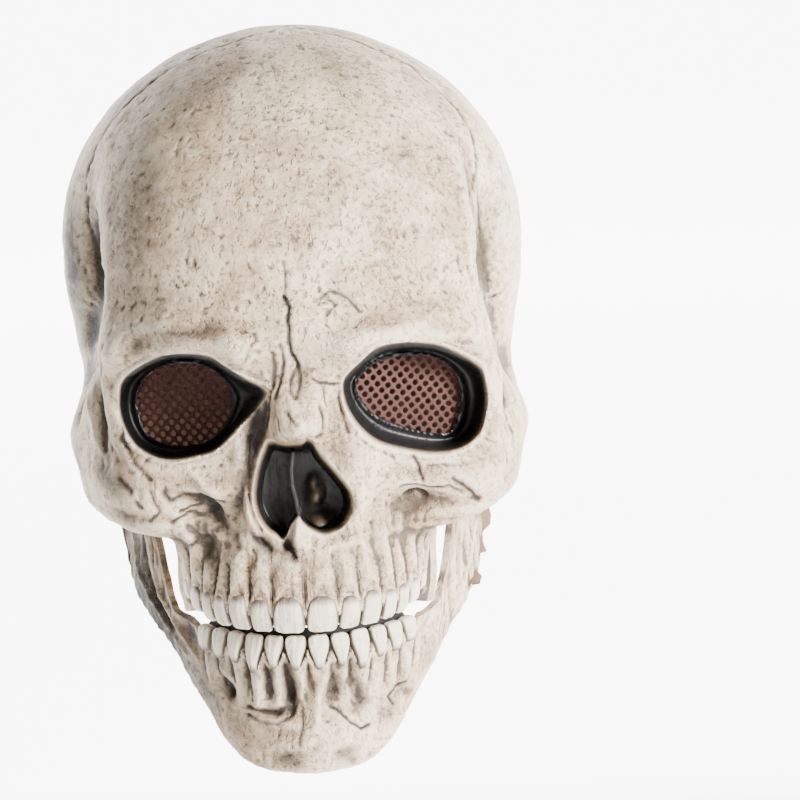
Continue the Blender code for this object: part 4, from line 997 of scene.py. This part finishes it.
def give_wall(piece, thickness, kept):
    """A wall behind a skin, thinner where the skin's value thick says so. Its inner side takes the second
    finish and stays coarse, but not beside its rim."""
    mesh = piece.data
    thick = np.zeros(len(mesh.vertices), np.float32)
    mesh.attributes["thick"].data.foreach_get("value", thick)
    set_weights(piece, "thick", thick)
    piece.vertex_groups.new(name="inner_side")
    wall = piece.modifiers.new("wall", "SOLIDIFY")
    wall.thickness = thickness
    wall.offset = -1
    wall.use_even_offset = False
    wall.use_rim = True
    wall.material_offset = 1
    wall.vertex_group = "thick"
    wall.thickness_vertex_group = THIN_WALL
    wall.shell_vertex_group = "inner_side"
    settle(piece)
    mesh = piece.data
    inner = np.zeros(len(mesh.vertices), bool)
    beside_rim = np.zeros(len(mesh.vertices), bool)
    for face in mesh.polygons:
        if face.material_index == 1:
            inner[list(face.vertices)] = True
    for face in mesh.polygons:
        if face.material_index == 0:
            beside_rim[list(face.vertices)] = True
    set_weights(piece, "inner_side", (inner & ~beside_rim).astype(float))
    coarse = piece.modifiers.new("coarse", "DECIMATE")
    coarse.vertex_group = "inner_side"
    coarse.vertex_group_factor = 1.0
    coarse.ratio = 0.5 + 0.5 * kept
    settle(piece)
    piece.data.set_sharp_from_angle(angle=math.radians(60))


def refine(shape, inside):
    """Halves the cells of a flat grid whose middles lie inside."""
    flat = middles(shape)
    chosen = np.flatnonzero(inside(2 * flat[:, 0], 0.5 - flat[:, 1]))
    shape.faces.ensure_lookup_table()
    edges = {edge for i in chosen for edge in shape.faces[i].edges}
    bmesh.ops.subdivide_edges(shape, edges=list(edges), cuts=1, use_grid_fill=True)


def in_window(around, down):
    reach, start, end = FACE_WINDOW
    return (abs(around) < reach) & (down > start) & (down < end)


def at_rims(around, down):
    """The places round the sockets' and the nose's rims, where the skin falls steeply."""
    points = skull_skin(around, down)
    sockets = [socket_share(points, left) for left in (True, False)]
    nose = nose_share(points)
    inside = (nose > 0.70) & (nose < 1.06)
    for share in sockets:
        inside |= (share > 0.35) & (share < 1.10)
    return inside


def rough_skin(points, fibre):
    """The unevenness of cast bone, and the upright fibres where there are some."""
    uneven = 0.00050 * ripple(points, 0.014, 2.0) + 0.00030 * ripple(points, 0.006, 8.0)
    pitted = -0.00040 * smooth_step(0.25, 0.60, ripple(points, 0.0030, 12.0))
    grainy = 0.00016 * ripple(points, 0.0019, 63.0)
    fibres = 0.00075 * ripple(points, 0.0026, 31.0, (1.0, 1.0, 6.0)) * fibre
    return uneven + pitted * (1 - 0.5 * fibre) + grainy + fibres


def pin_dimples(points):
    """Flat seats for the heads of the jaw's pins."""
    seat = skull_side(PIVOT_Y, PIVOT_LEVEL) - PIN_HEAD_THICKNESS
    away = np.hypot(points[:, 1] - PIVOT_Y, points[:, 2] - level_z(PIVOT_LEVEL))
    room = PIN_HEAD_RADIUS + PIN_CLEARANCE
    share = 1 - smooth_step(room, room + 0.0018, away)
    sideways = np.sign(points[:, 0]) * (seat - 0.0001)
    moved = points.copy()
    outer = abs(points[:, 0]) > 0.07
    moved[:, 0] = np.where(outer, points[:, 0] + share * (sideways - points[:, 0]), points[:, 0])
    return moved


def skull_fibre(points):
    """1 where the bone is fibrous: beside the nose, over the roots and on the cheeks' outer edges."""
    x, z = abs(points[:, 0]), points[:, 2]
    nose = np.exp(-(((x - 0.012) / 0.014) ** 2) - ((z - level_z(0.47)) / 0.026) ** 2)
    roots = 1 - smooth_step(level_z(0.33), level_z(0.38), z)
    side = np.exp(-(((x - 0.083) / 0.010) ** 2) - ((z - level_z(0.50)) / 0.030) ** 2)
    return np.clip(nose * 1.2 + roots * 0.7 + side * 0.8, 0, 1) * (points[:, 1] < -0.03)


def keep_wear(shape, points):
    """How worn each point of a skin gets from its own relief, and its painted shade, with dirty paint, where
    it lies back.
    """
    out = normals(shape)
    fine, broad = worn(shape, points, out, 5), worn(shape, points, out, 50)
    keep_value(shape, "groove", np.clip(-fine / 0.00022, 0, 1) * 0.7 + np.clip(-broad / 0.0009, 0, 1) * 0.6)
    keep_value(shape, "crest", np.clip(fine / 0.00022, 0, 1) * 0.6 + np.clip(broad / 0.0009, 0, 1) * 0.6)


def make_skull(finishes):
    shape = bmesh.new()
    bmesh.ops.create_grid(shape, x_segments=SKULL_COLUMNS, y_segments=SKULL_ROWS, size=0.5)
    refine(shape, in_window)
    refine(shape, at_rims)
    flat = coordinates(shape)
    put(shape, skull_skin(2 * flat[:, 0], 0.5 - flat[:, 1]))
    bmesh.ops.remove_doubles(shape, verts=shape.verts, dist=1e-5)
    points, out = coordinates(shape), normals(shape)
    tree = BVHTree.FromBMesh(shape)
    sockets = [socket_share(points, left) for left in (True, False)]
    nose = nose_share(points)
    open_bone = smooth_step(0.97, 1.06, nose)
    for share in sockets:
        open_bone = open_bone * smooth_step(0.95, 1.10, share)
    fibre = skull_fibre(points)
    stroke_height, dirt_and_shade = carve(points, wander_field(points), SKULL_STROKES, tree)
    hill_height, shade = raise_hills(points, SKULL_HILLS, tree)
    gum_height, gum_dirt_and_shade = gums(
        points, upper_outline, UPPER_TEETH, UPPER_TOOTH_WIDTH, UPPER_TOOTH_HEIGHT, level_z(BITE_LEVEL), 1,
        UPPER_ROOTS,
    )
    relief = (stroke_height + hill_height + rough_skin(points, fibre) + gum_height) * open_bone
    # The curled bones in the nose: their heights, and a painted sheen that thins the black paint on them.
    in_nose, bare = raise_hills(points, NOSE_HILLS, tree)
    moved = sink_hollows(points + out * relief[:, None], nose, sockets)
    moved[:, 1] -= in_nose * (1 - smooth_step(0.70, 0.90, nose))
    moved = pin_dimples(moved)
    put(shape, moved)
    keep_wear(shape, moved)
    # Dark paint from the strokes and the gums, dirty paint with painted shade, and the hills' stains with
    # painted shade.
    keep_value(shape, "dirt_and_shade", np.clip(np.maximum(dirt_and_shade, gum_dirt_and_shade), 0, 1) * open_bone)
    keep_value(shape, "stain_and_shade", shade)
    keep_value(shape, "fibre", fibre)
    # Less black on the curled bones: a painted grey sheen.
    black = (1 - smooth_step(0.88, 1.0, nose)) * (1 - bare)
    thick = smooth_step(1.05, 1.25, nose)
    for share in sockets:
        black = np.maximum(black, 1 - smooth_step(0.84, 1.02, share))
        thick = thick * smooth_step(1.2, 1.8, share)
    keep_value(shape, "black", black)
    keep_value(shape, "thick", thick)
    upright = Matrix(((0, 0, 1, 0), (1, 0, 0, 0), (0, 1, 0, 0), (0, 0, 0, 1)))
    cut_out(shape, [(y * FACE_DEPTH, level_z(level)) for y, level in SKULL_TRIM], upright, 1.0)
    for left in (True, False):
        place = socket_place(-1 if left else 1, 0.0)
        cut_out(shape, opening_on_floor(left, place, 1.0), place, 0.006, 0.003)
    skull = new_piece("skull_casting", shape, finishes, "skull", "bone_latex", "skull_shell")
    give_wall(skull, WALL, INNER_KEPT)
    return skull


def opening_on_floor(left, place, larger):
    """The outline of an eye opening in the frame of its socket's floor, made larger about its middle."""
    eye, turn = camera_turn()
    back = place.inverted()
    middle = np.array(LEFT_MIDDLE if left else RIGHT_MIDDLE)
    outline = []
    for corner in smooth_outline(LEFT_OPENING if left else RIGHT_OPENING, 3):
        px, py = middle + (np.array(corner) - middle) * larger
        start, ray = back @ eye, back.to_3x3() @ sight_line(turn, px, py)
        hit = start - ray * (start.z / ray.z)
        outline.append((hit.x, hit.y))
    return outline


def make_jaw(finishes):
    shape = bmesh.new()
    bmesh.ops.create_grid(shape, x_segments=JAW_COLUMNS, y_segments=JAW_ROWS, size=0.5)
    flat = coordinates(shape)
    along = flat[:, 1] + 0.5
    on_lip = along < JAW_LIP_SHARE
    up = np.where(on_lip, along / JAW_LIP_SHARE - 1, (along - JAW_LIP_SHARE) / (1 - JAW_LIP_SHARE))
    around = 2 * flat[:, 0]
    put(shape, jaw_skin(np.where(abs(around) < 1e-6, 1e-6, around), up))
    points, out = coordinates(shape), normals(shape)
    tree = BVHTree.FromBMesh(shape)
    branch = smooth_step(-0.075, -0.050, points[:, 1])
    height, dirt_and_shade = carve(points, wander_field(points), JAW_STROKES, tree)
    hill_height, shade = raise_hills(points, JAW_HILLS, tree)
    edge_z = level_z(BITE_LEVEL) - BITE_GAP
    gum_height, gum_dirt_and_shade = gums(
        points, lower_outline, LOWER_TEETH, LOWER_TOOTH_WIDTH, LOWER_TOOTH_HEIGHT, edge_z, -1, LOWER_ROOTS
    )
    fibre = np.clip(branch + 0.25, 0, 1)
    relief = height + hill_height + rough_skin(points, fibre) + gum_height
    moved = points + out * relief[:, None]
    put(shape, moved)
    keep_wear(shape, moved)
    # Dark paint from the strokes and the gums, dirty paint with painted shade, and the hills' stains with
    # painted shade.
    keep_value(shape, "dirt_and_shade", np.clip(np.maximum(dirt_and_shade, gum_dirt_and_shade), 0, 1))
    keep_value(shape, "stain_and_shade", shade)
    keep_value(shape, "fibre", fibre)
    keep_value(shape, "black", np.zeros(len(points)))
    keep_value(shape, "thick", np.ones(len(points)))
    jaw = new_piece("jaw_casting", shape, finishes, "jaw", "jaw_latex", "jaw_shell")
    give_wall(jaw, WALL, INNER_KEPT)
    return jaw


def tooth_form(row, wide, tall, up, seed):
    """One tooth about its own middle: X across, Y inwards, Z from its cutting edge towards its root, and how
    dark it is painted towards its sides and its root: dirty paint with painted shade."""
    shape = bmesh.new()
    bmesh.ops.create_cube(shape, size=2.0)
    bmesh.ops.subdivide_edges(shape, edges=shape.edges, cuts=TOOTH_CUTS, use_grid_fill=True)
    cube = coordinates(shape)
    cube /= ((abs(cube) ** TOOTH_SQUARENESS).sum(1) ** (1 / TOOTH_SQUARENESS))[:, None]
    across, inwards, root = cube.T
    share = (root + 1) / 2
    taper, edge = row[4], row[5]
    width = np.sqrt(1 - (1 - taper**2) * (np.clip(share - 0.42, 0, 1) / 0.58) ** 2) if up > 0 else (
        1 - (1 - taper) * smooth_step(0.18, 1.0, share))
    depth = edge + (1 - edge) * smooth_step(0.0, 0.62, share)
    front = TOOTH_DEPTH / 2 * (inwards * depth + (1 - depth) * 0.35)
    bulge = -0.0007 * np.cos(across * math.pi / 2) * np.sin(math.pi * np.clip(share, 0, 1)) * (inwards < 0)
    ribs = 0.00016 * np.cos(across * math.pi * 3 + seed) * (1 - share) * (inwards < 0)
    waver = np.array([noise.noise(Vector((value * 2.2, seed, 0.0))) for value in across])
    ragged = 0.00035 * waver * (1 - share)
    x = across * (wide - TOOTH_GAP) / 2 * width
    points = np.stack((x, front + bulge + ribs, share * tall * 1.10 + ragged), 1)
    # Darker towards the sides and the root: painted shade between the teeth and at the gums, with dirty paint.
    dirt_and_shade = np.maximum(smooth_step(0.70, 1.0, abs(across)), smooth_step(0.60, 1.0, share))
    put(shape, points)
    keep_value(shape, "dirt_and_shade", dirt_and_shade)
    keep_value(shape, "seed", np.full(len(points), seed % 1.0))
    return shape


def make_teeth(name, outline, teeth, first_width, first_height, edge_z, up, finish, body, slot):
    row_shape = bmesh.new()
    held = bpy.data.meshes.new("tooth_held")
    for index, (row, place, heading, _) in enumerate(tooth_row(outline, teeth, first_width)):
        for side in (1, -1):
            seed = 1.7 * index + 0.61 * side
            shape = tooth_form(row, row[1] * first_width, row[2] * first_height, up, seed)
            lift = Matrix.Translation((0, TOOTH_DEPTH / 2 - TOOTH_PROUD, 0))
            upright = Matrix.Diagonal((1, 1, up, 1))
            foot = Matrix.Translation((side * place[0], place[1], edge_z + up * row[3] * first_height))
            shape.transform(foot @ Matrix.Rotation(side * heading, 4, "Z") @ lift @ upright)
            if up < 0:
                bmesh.ops.reverse_faces(shape, faces=shape.faces)
            shape.to_mesh(held)
            shape.free()
            row_shape.from_mesh(held)
    bpy.data.meshes.remove(held)
    return new_piece(name, row_shape, [finish], body, slot)


def make_net(left, name, finish):
    """A net of round holes in a staggered lattice, a little larger than the opening that it lies behind."""
    place = socket_place(-1 if left else 1, WALL * THIN_WALL + 2 * SEAT_GAP)
    outline = opening_on_floor(left, place, NET_OVERLAP)
    low, high = np.min(outline, 0), np.max(outline, 0)
    cells = int(max(high - low) * 1.5 / NET_PITCH)
    shape = bmesh.new()
    bmesh.ops.create_grid(shape, x_segments=cells, y_segments=cells, size=cells * NET_PITCH / 2)
    bmesh.ops.rotate(shape, verts=shape.verts, cent=(0, 0, 0), matrix=Matrix.Rotation(NET_TILT, 3, "Z"))
    bmesh.ops.translate(shape, verts=shape.verts, vec=(*(low + high) / 2, 0))
    shape.faces.ensure_lookup_table()
    outside = np.flatnonzero(~inside_outline(middles(shape)[:, :2], outline))
    bmesh.ops.delete(shape, geom=[shape.faces[i] for i in outside], context="FACES")
    kept = list(shape.faces)
    bmesh.ops.inset_individual(shape, faces=kept, thickness=NET_PITCH * (1 - NET_HOLE_SHARE) / 2)
    bmesh.ops.delete(shape, geom=kept, context="FACES")
    shape.transform(place)
    net = new_piece(f"net_{name}", shape, [finish], "skull", "eye_mesh", f"eye_net_{name}")
    wall = net.modifiers.new("thickness", "SOLIDIFY")
    wall.thickness = NET_THICKNESS
    wall.offset = -1
    soft = net.modifiers.new("round", "SUBSURF")
    soft.levels = soft.render_levels = 1
    settle(net)
    return net


def make_septum(finish):
    """The thin upright bone inside the nose."""
    shape = bmesh.new()
    bmesh.ops.create_grid(shape, x_segments=6, y_segments=24, size=0.5)
    eye, turn = camera_turn()
    path = np.array(SEPTUM, float)
    for vertex in shape.verts:
        down, deep = (0.5 - vertex.co.y) * (len(path) - 1), vertex.co.x + 0.5
        px, py = (np.interp(down, range(len(path)), path[:, axis]) for axis in (0, 1))
        sight = sight_line(turn, px, py)
        front = eye + sight * ((SEPTUM_FRONT_Y - eye.y) / sight.y)
        ragged = 0.0012 * noise.noise(Vector((down * 1.7, 3.0, 0.0))) * (1 - deep)
        vertex.co = front + Vector((0.0, ragged + deep * SEPTUM_DEPTH, 0.0))
    septum = new_piece("nose_septum", shape, [finish], "skull", "bone_latex")
    wall = septum.modifiers.new("thickness", "SOLIDIFY")
    wall.thickness = SEPTUM_THICKNESS
    wall.offset = 0
    rounded = septum.modifiers.new("round", "BEVEL")
    rounded.width = 0.0004
    rounded.segments = 2
    settle(septum)
    return septum


def make_mouth_shade_wall(name, outline, reach, low, high, finish, body, slot):
    """A black wall behind a row of teeth, which closes the gaps between them: painted shade inside the mouth.
    """
    shape = bmesh.new()
    bmesh.ops.create_grid(shape, x_segments=80, y_segments=5, size=0.5)
    flat = coordinates(shape)
    side = 2 * flat[:, 0]
    points = outline(abs(side) * reach)
    points[:, 0] = np.copysign(points[:, 0], side)
    inwards = np.stack((-points[:, 0], -INWARDS_DEPTH * FACE_DEPTH - points[:, 1]), 1)
    inwards /= np.linalg.norm(inwards, axis=1)[:, None]
    points += inwards * (TOOTH_DEPTH - TOOTH_PROUD + 0.0004)
    end = smooth_step(0.80, 1.0, abs(side))
    height = low + (high - low) * (flat[:, 1] + 0.5) * (1 - 0.7 * end)
    put(shape, np.column_stack((points, height)))
    gum = new_piece(name, shape, [finish], body, slot)
    wall = gum.modifiers.new("wall", "SOLIDIFY")
    wall.thickness = SHADE_WALL_THICKNESS
    wall.offset = -1
    rounded = gum.modifiers.new("round", "BEVEL")
    rounded.width = 0.0005
    rounded.segments = 2
    settle(gum)
    return gum


def make_pads(name, inner_x, outer_x, finish, body, slot):
    """A round pad with eased edges on the jaw's axis, on each side."""
    shape = bmesh.new()
    profile = (
        (PAD_HOLE_RADIUS, inner_x), (PAD_RADIUS - PAD_EASE, inner_x), (PAD_RADIUS, inner_x + PAD_EASE),
        (PAD_RADIUS, outer_x - PAD_EASE), (PAD_RADIUS - PAD_EASE, outer_x), (PAD_HOLE_RADIUS, outer_x),
    )
    axis = Vector((0, PIVOT_Y, level_z(PIVOT_LEVEL)))
    for side in (1, -1):
        corners = [shape.verts.new(axis + Vector((side * along, radius, 0))) for radius, along in profile]
        edges = [shape.edges.new(pair) for pair in zip(corners, corners[1:] + corners[:1])]
        bmesh.ops.spin(
            shape, geom=corners + edges, cent=axis, axis=(1, 0, 0), angle=2 * math.pi, steps=40,
            use_merge=True,
        )
    bmesh.ops.remove_doubles(shape, verts=shape.verts, dist=1e-6)
    bmesh.ops.recalc_face_normals(shape, faces=shape.faces)
    pads = new_piece(name, shape, [finish], body, slot)
    pads.data.set_sharp_from_angle(angle=math.radians(35))
    return pads


class Value:
    """A socket of a finish, with arithmetic."""

    def __init__(self, finish, socket):
        self.finish = finish
        self.socket = socket

    def sum_with(self, operation, first, second):
        return self.finish.node("ShaderNodeMath", {"operation": operation}, {0: first, 1: second})

    def __add__(self, other):
        return self.sum_with("ADD", self, other)

    def __radd__(self, other):
        return self.sum_with("ADD", other, self)

    def __sub__(self, other):
        return self.sum_with("SUBTRACT", self, other)

    def __rsub__(self, other):
        return self.sum_with("SUBTRACT", other, self)

    def __mul__(self, other):
        return self.sum_with("MULTIPLY", self, other)

    def __rmul__(self, other):
        return self.sum_with("MULTIPLY", other, self)

    def __abs__(self):
        return self.sum_with("ABSOLUTE", self, 0.0)

    def step(self, start, end):
        """A smooth step from 0 at start to 1 at end."""
        return self.finish.node(
            "ShaderNodeMapRange", {"interpolation_type": "SMOOTHSTEP"},
            {0: self, 1: start, 2: end, 3: 0.0, 4: 1.0},
        )


class Finish:
    """A node material."""

    def __init__(self, name):
        self.material = bpy.data.materials.new(name)
        self.material.use_nodes = True
        self.tree = self.material.node_tree
        self.tree.nodes.clear()

    def node(self, kind, settings, sockets, output=0):
        made = self.tree.nodes.new(kind)
        for name, value in settings.items():
            setattr(made, name, value)
        for place, value in sockets.items():
            if isinstance(value, Value):
                self.tree.links.new(value.socket, made.inputs[place])
            else:
                made.inputs[place].default_value = value
        return Value(self, made.outputs[output])

    def place(self):
        return self.node("ShaderNodeTexCoord", {}, {}, "Object")

    def stretched(self, scale):
        return self.node("ShaderNodeMapping", {}, {"Vector": self.place(), "Scale": scale})

    def attribute(self, name):
        return self.node("ShaderNodeAttribute", {"attribute_name": name}, {}, "Fac")

    def noise(self, scale, detail=3.0, roughness=0.55, distortion=0.0, place=None):
        return self.node(
            "ShaderNodeTexNoise", {},
            {"Vector": place or self.place(), "Scale": scale, "Detail": detail, "Roughness": roughness,
             "Distortion": distortion},
        )

    def mix(self, share, first, second):
        return self.node("ShaderNodeMix", {"data_type": "RGBA"}, {0: share, 6: first, 7: second}, 2)

    def bump(self, height, distance, strength=1.0, under=None):
        sockets = {"Strength": strength, "Distance": distance, "Height": height}
        if under:
            sockets["Normal"] = under
        return self.node("ShaderNodeBump", {}, sockets)

    def done(self, sockets):
        shader = self.node("ShaderNodeBsdfPrincipled", {}, sockets)
        end = self.tree.nodes.new("ShaderNodeOutputMaterial")
        self.tree.links.new(shader.socket, end.inputs["Surface"])
        return self.material


def colour(red, green, blue):
    return (red, green, blue, 1.0)


def bone_paint(name):
    """Aged bone: cream over tan, dark paint in the fibres and pits, dirty paint with painted shade in the
    grooves and cracks, stains with painted shade in the hollows and down the left side, and black paint in the
    sockets and the nose.
    """
    f = Finish(name)
    dirt_and_shade, stain_and_shade, fibre, black, groove, crest = (
        f.attribute(word) for word in ("dirt_and_shade", "stain_and_shade", "fibre", "black", "groove", "crest")
    )
    cloud = f.noise(24.0, 4.0)
    patch = f.noise(60.0, 4.0, 0.6)
    mottle = f.noise(170.0, 5.0, 0.65)
    speck = f.noise(620.0, 4.0, 0.7)
    worm = 1 - abs(f.noise(170.0, 2.0, 0.5, 1.4) - 0.5).step(0.0, 0.030)
    worm_patch = f.noise(48.0, 2.0).step(0.52, 0.64)
    grain = f.noise(330.0, 4.0, 0.6, 0.0, f.stretched((1.0, 1.0, 0.10)))
    pits = f.noise(420.0, 3.0, 0.6).step(0.54, 0.68)
    tone = f.mix(cloud.step(0.36, 0.62), colour(0.86, 0.68, 0.47), colour(0.60, 0.43, 0.275))
    tone = f.mix(patch.step(0.44, 0.68) * 0.62, tone, colour(0.35, 0.235, 0.145))
    tone = f.mix(speck.step(0.48, 0.62) * (0.15 + 0.50 * patch), tone, colour(0.22, 0.145, 0.088))
    tone = f.mix(mottle.step(0.50, 0.70) * 0.40, tone, colour(0.28, 0.19, 0.118))
    tone = f.mix(pits * (1 - fibre * 0.6) * 0.50, tone, colour(0.17, 0.112, 0.070))
    tone = f.mix(grain.step(0.50, 0.68) * fibre * 0.60, tone, colour(0.16, 0.108, 0.068))
    tone = f.mix(crest.step(0.25, 1.0) * 0.60, tone, colour(0.88, 0.75, 0.57))
    tone = f.mix(worm * worm_patch * 0.35, tone, colour(0.10, 0.066, 0.042))
    # The hills' stains, with painted shade in the hollows and down the left side, away from the light.
    dark_stain_and_shade = (stain_and_shade + (mottle - 0.5) * stain_and_shade).step(0.0, 0.9)
    tone = f.mix(dark_stain_and_shade * 0.90, tone, colour(0.070, 0.048, 0.031))
    # Painted shade, with dirty paint, where the skin lies back.
    tone = f.mix(groove.step(0.10, 0.95) * 0.82, tone, colour(0.050, 0.034, 0.022))
    tone = f.mix(dark_stain_and_shade.step(0.75, 1.0) * 0.75, tone, colour(0.016, 0.012, 0.009))
    # Dirty paint with painted shade in the cracks, at the gums and behind the teeth.
    tone = f.mix(dirt_and_shade * 0.93, tone, colour(0.018, 0.012, 0.009))
    tone = f.mix(black, tone, colour(0.0040, 0.0040, 0.0042))
    rough = 0.64 + 0.10 * (mottle - 0.5) - 0.20 * black
    surface = f.bump((speck * 0.5 - pits * 0.7 - worm * worm_patch * 0.5) * (1 - black * 0.8), 0.0008, 0.9)
    surface = f.bump(grain * fibre, 0.0010, 0.8, surface)
    return f.done({"Base Color": tone, "Roughness": rough, "Normal": surface})


def enamel(name):
    f = Finish(name)
    dirt_and_shade = f.attribute("dirt_and_shade")
    streak = f.noise(420.0, 4.0, 0.6, 0.3, f.stretched((1.0, 1.0, 0.12)))
    mottle = f.noise(160.0, 4.0)
    tone = f.mix(mottle.step(0.40, 0.70) * 0.5, colour(0.88, 0.78, 0.63), colour(0.66, 0.53, 0.37))
    tone = f.mix(streak.step(0.55, 0.66) * 0.50, tone, colour(0.30, 0.23, 0.16))
    # Painted shade between the teeth and at the gums, with dirty paint.
    tone = f.mix(dirt_and_shade.step(0.15, 1.0) * 0.90, tone, colour(0.075, 0.052, 0.036))
    return f.done({
        "Base Color": tone, "Roughness": 0.42 + 0.15 * mottle,
        "Normal": f.bump(streak, 0.0010, 0.8),
    })


def raw_latex_in_shade(name):
    f = Finish(name)
    cloud = f.noise(30.0, 4.0)
    fine = f.noise(600.0, 3.0)
    # A dark brown, darker than raw latex: painted shade on the insides of the castings and on the pads.
    tone = f.mix(cloud.step(0.35, 0.70), colour(0.20, 0.115, 0.072), colour(0.12, 0.064, 0.040))
    return f.done({"Base Color": tone, "Roughness": 0.6 + 0.1 * cloud, "Normal": f.bump(fine, 0.0003, 0.6)})


def black_paint_and_mouth_shade(name):
    # Black paint on the septum, and painted shade on the walls behind the teeth.
    f = Finish(name)
    mottle = f.noise(120.0, 4.0)
    tone = f.mix(mottle, colour(0.006, 0.005, 0.005), colour(0.014, 0.011, 0.010))
    return f.done({"Base Color": tone, "Roughness": 0.6 + 0.2 * mottle, "Normal": f.bump(mottle, 0.0005)})


def net_cloth(name):
    f = Finish(name)
    thread = f.noise(900.0, 2.0)
    tone = f.mix(thread.step(0.35, 0.65), colour(0.040, 0.011, 0.009), colour(0.085, 0.025, 0.019))
    return f.done({"Base Color": tone, "Roughness": 0.72 + 0.1 * thread, "Normal": f.bump(thread, 0.0002)})


def pin_resin(name):
    f = Finish(name)
    mottle = f.noise(300.0, 3.0)
    tone = f.mix(mottle.step(0.35, 0.65), colour(0.30, 0.26, 0.21), colour(0.22, 0.18, 0.14))
    return f.done({"Base Color": tone, "Roughness": 0.45 + 0.15 * mottle, "Normal": f.bump(mottle, 0.0002)})


def stage_paint(name):
    """White, and aglow behind the mask, as the lit backdrop of a studio is."""
    f = Finish(name)
    depth = f.node("ShaderNodeSeparateXYZ", {}, {0: f.place()}, 1)
    glow = f.mix(depth.step(0.02, 0.22), colour(0.0, 0.0, 0.0), colour(1.0, 1.0, 1.0))
    return f.done({
        "Base Color": colour(0.90, 0.90, 0.89), "Roughness": 0.9, "Emission Color": glow,
        "Emission Strength": GLOW,
    })


def make_stage():
    """A pale floor that sweeps up into a backdrop."""
    shape = bmesh.new()
    bmesh.ops.create_grid(shape, x_segments=2, y_segments=40, size=1.0)
    for vertex in shape.verts:
        across, along = vertex.co.x * 6, (vertex.co.y + 1) / 2
        run = along * 9.0 - 3.0
        turn = min(max((run - 2.2) / 1.6, 0.0), 1.0) * math.pi / 2
        beyond = max(run - 3.8, 0.0)
        y = min(run, 2.2) + math.sin(turn) * 1.0
        z = FLOOR_Z + (1 - math.cos(turn)) * 1.0 + beyond
        vertex.co = (across, y, z)
    mesh = bpy.data.meshes.new("studio_floor")
    shape.to_mesh(mesh)
    shape.free()
    mesh.materials.append(stage_paint("studio_white"))
    mesh.shade_smooth()
    floor = bpy.data.objects.new("studio_floor", mesh)
    bpy.context.scene.collection.objects.link(floor)


def add_light(name, place, aim, size, power, tint=(1.0, 1.0, 1.0)):
    lamp = bpy.data.lights.new(name, "AREA")
    lamp.size = size
    lamp.energy = power
    lamp.color = tint
    light = bpy.data.objects.new(name, lamp)
    light.location = place
    light.rotation_euler = (Vector(aim) - Vector(place)).to_track_quat("-Z", "Y").to_euler()
    bpy.context.scene.collection.objects.link(light)


def make_lights():
    add_light("key", KEY_PLACE, LIGHTS_AIM, KEY_SIZE, KEY_POWER, KEY_TINT)
    add_light("fill", FILL_PLACE, LIGHTS_AIM, FILL_SIZE, FILL_POWER)
    world = bpy.data.worlds.new("studio")
    world.use_nodes = True
    world.node_tree.nodes["Background"].inputs["Color"].default_value = colour(1.0, 1.0, 1.0)
    world.node_tree.nodes["Background"].inputs["Strength"].default_value = WORLD_STRENGTH
    bpy.context.scene.world = world


def make_camera():
    eye, turn = camera_turn()
    lens = bpy.data.cameras.new("photo_camera")
    lens.lens = LENS
    lens.sensor_width = SENSOR
    camera = bpy.data.objects.new("photo_camera", lens)
    camera.matrix_world = Matrix.Translation(eye) @ turn.to_4x4()
    bpy.context.scene.collection.objects.link(camera)
    bpy.context.scene.camera = camera


def dress_node(node, finish):
    """Gives a CAD node a finish of the scene's."""
    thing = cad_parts[node]
    thing.data.materials.clear()
    thing.data.materials.append(finish)


def make_mask():
    bone, latex, enamel_paint = bone_paint("aged_bone"), raw_latex_in_shade("raw_latex_in_shade"), enamel("tooth_enamel")
    black, net, resin = black_paint_and_mouth_shade("black_paint_and_mouth_shade"), net_cloth("net_cloth"), pin_resin("pin_resin")
    make_skull([bone, latex])
    make_jaw([bone, latex])
    edge_z = level_z(BITE_LEVEL)
    make_teeth("upper_teeth", upper_outline, UPPER_TEETH, UPPER_TOOTH_WIDTH, UPPER_TOOTH_HEIGHT, edge_z, 1,
               enamel_paint, "skull", "bone_latex")
    make_teeth("lower_teeth", lower_outline, LOWER_TEETH, LOWER_TOOTH_WIDTH, LOWER_TOOTH_HEIGHT,
               edge_z - BITE_GAP, -1, enamel_paint, "jaw", "jaw_latex")
    # Black walls behind the teeth: painted shade inside the mouth.
    make_mouth_shade_wall("upper_mouth_shade", upper_outline, UPPER_SHADE_WALL_REACH, edge_z + 0.003, level_z(UPPER_SHADE_WALL_LEVEL),
                  black, "skull", "bone_latex")
    make_mouth_shade_wall("jaw_mouth_shade", lower_outline, LOWER_SHADE_WALL_REACH, level_z(LOWER_SHADE_WALL_LEVEL), edge_z - 0.0012, black,
                  "jaw", "jaw_latex")
    make_septum(black)
    for left, name in ((True, "left"), (False, "right")):
        make_net(left, name, net)
        dress_node(f"jaw_pin_{name}", resin)
    seat = skull_side(PIVOT_Y, PIVOT_LEVEL) - PIN_HEAD_THICKNESS
    skull_face = seat - SKULL_PAD_THICKNESS
    jaw_face = skull_face - SEAT_GAP
    make_pads("skull_pads", skull_face, seat - 0.0002, latex, "skull", "bone_latex")
    make_pads("jaw_pads", jaw_face - JAW_PAD_THICKNESS, jaw_face, latex, "jaw", "jaw_latex")


make_camera()
make_lights()
make_stage()
make_mask()
bpy.context.view_layer.update()
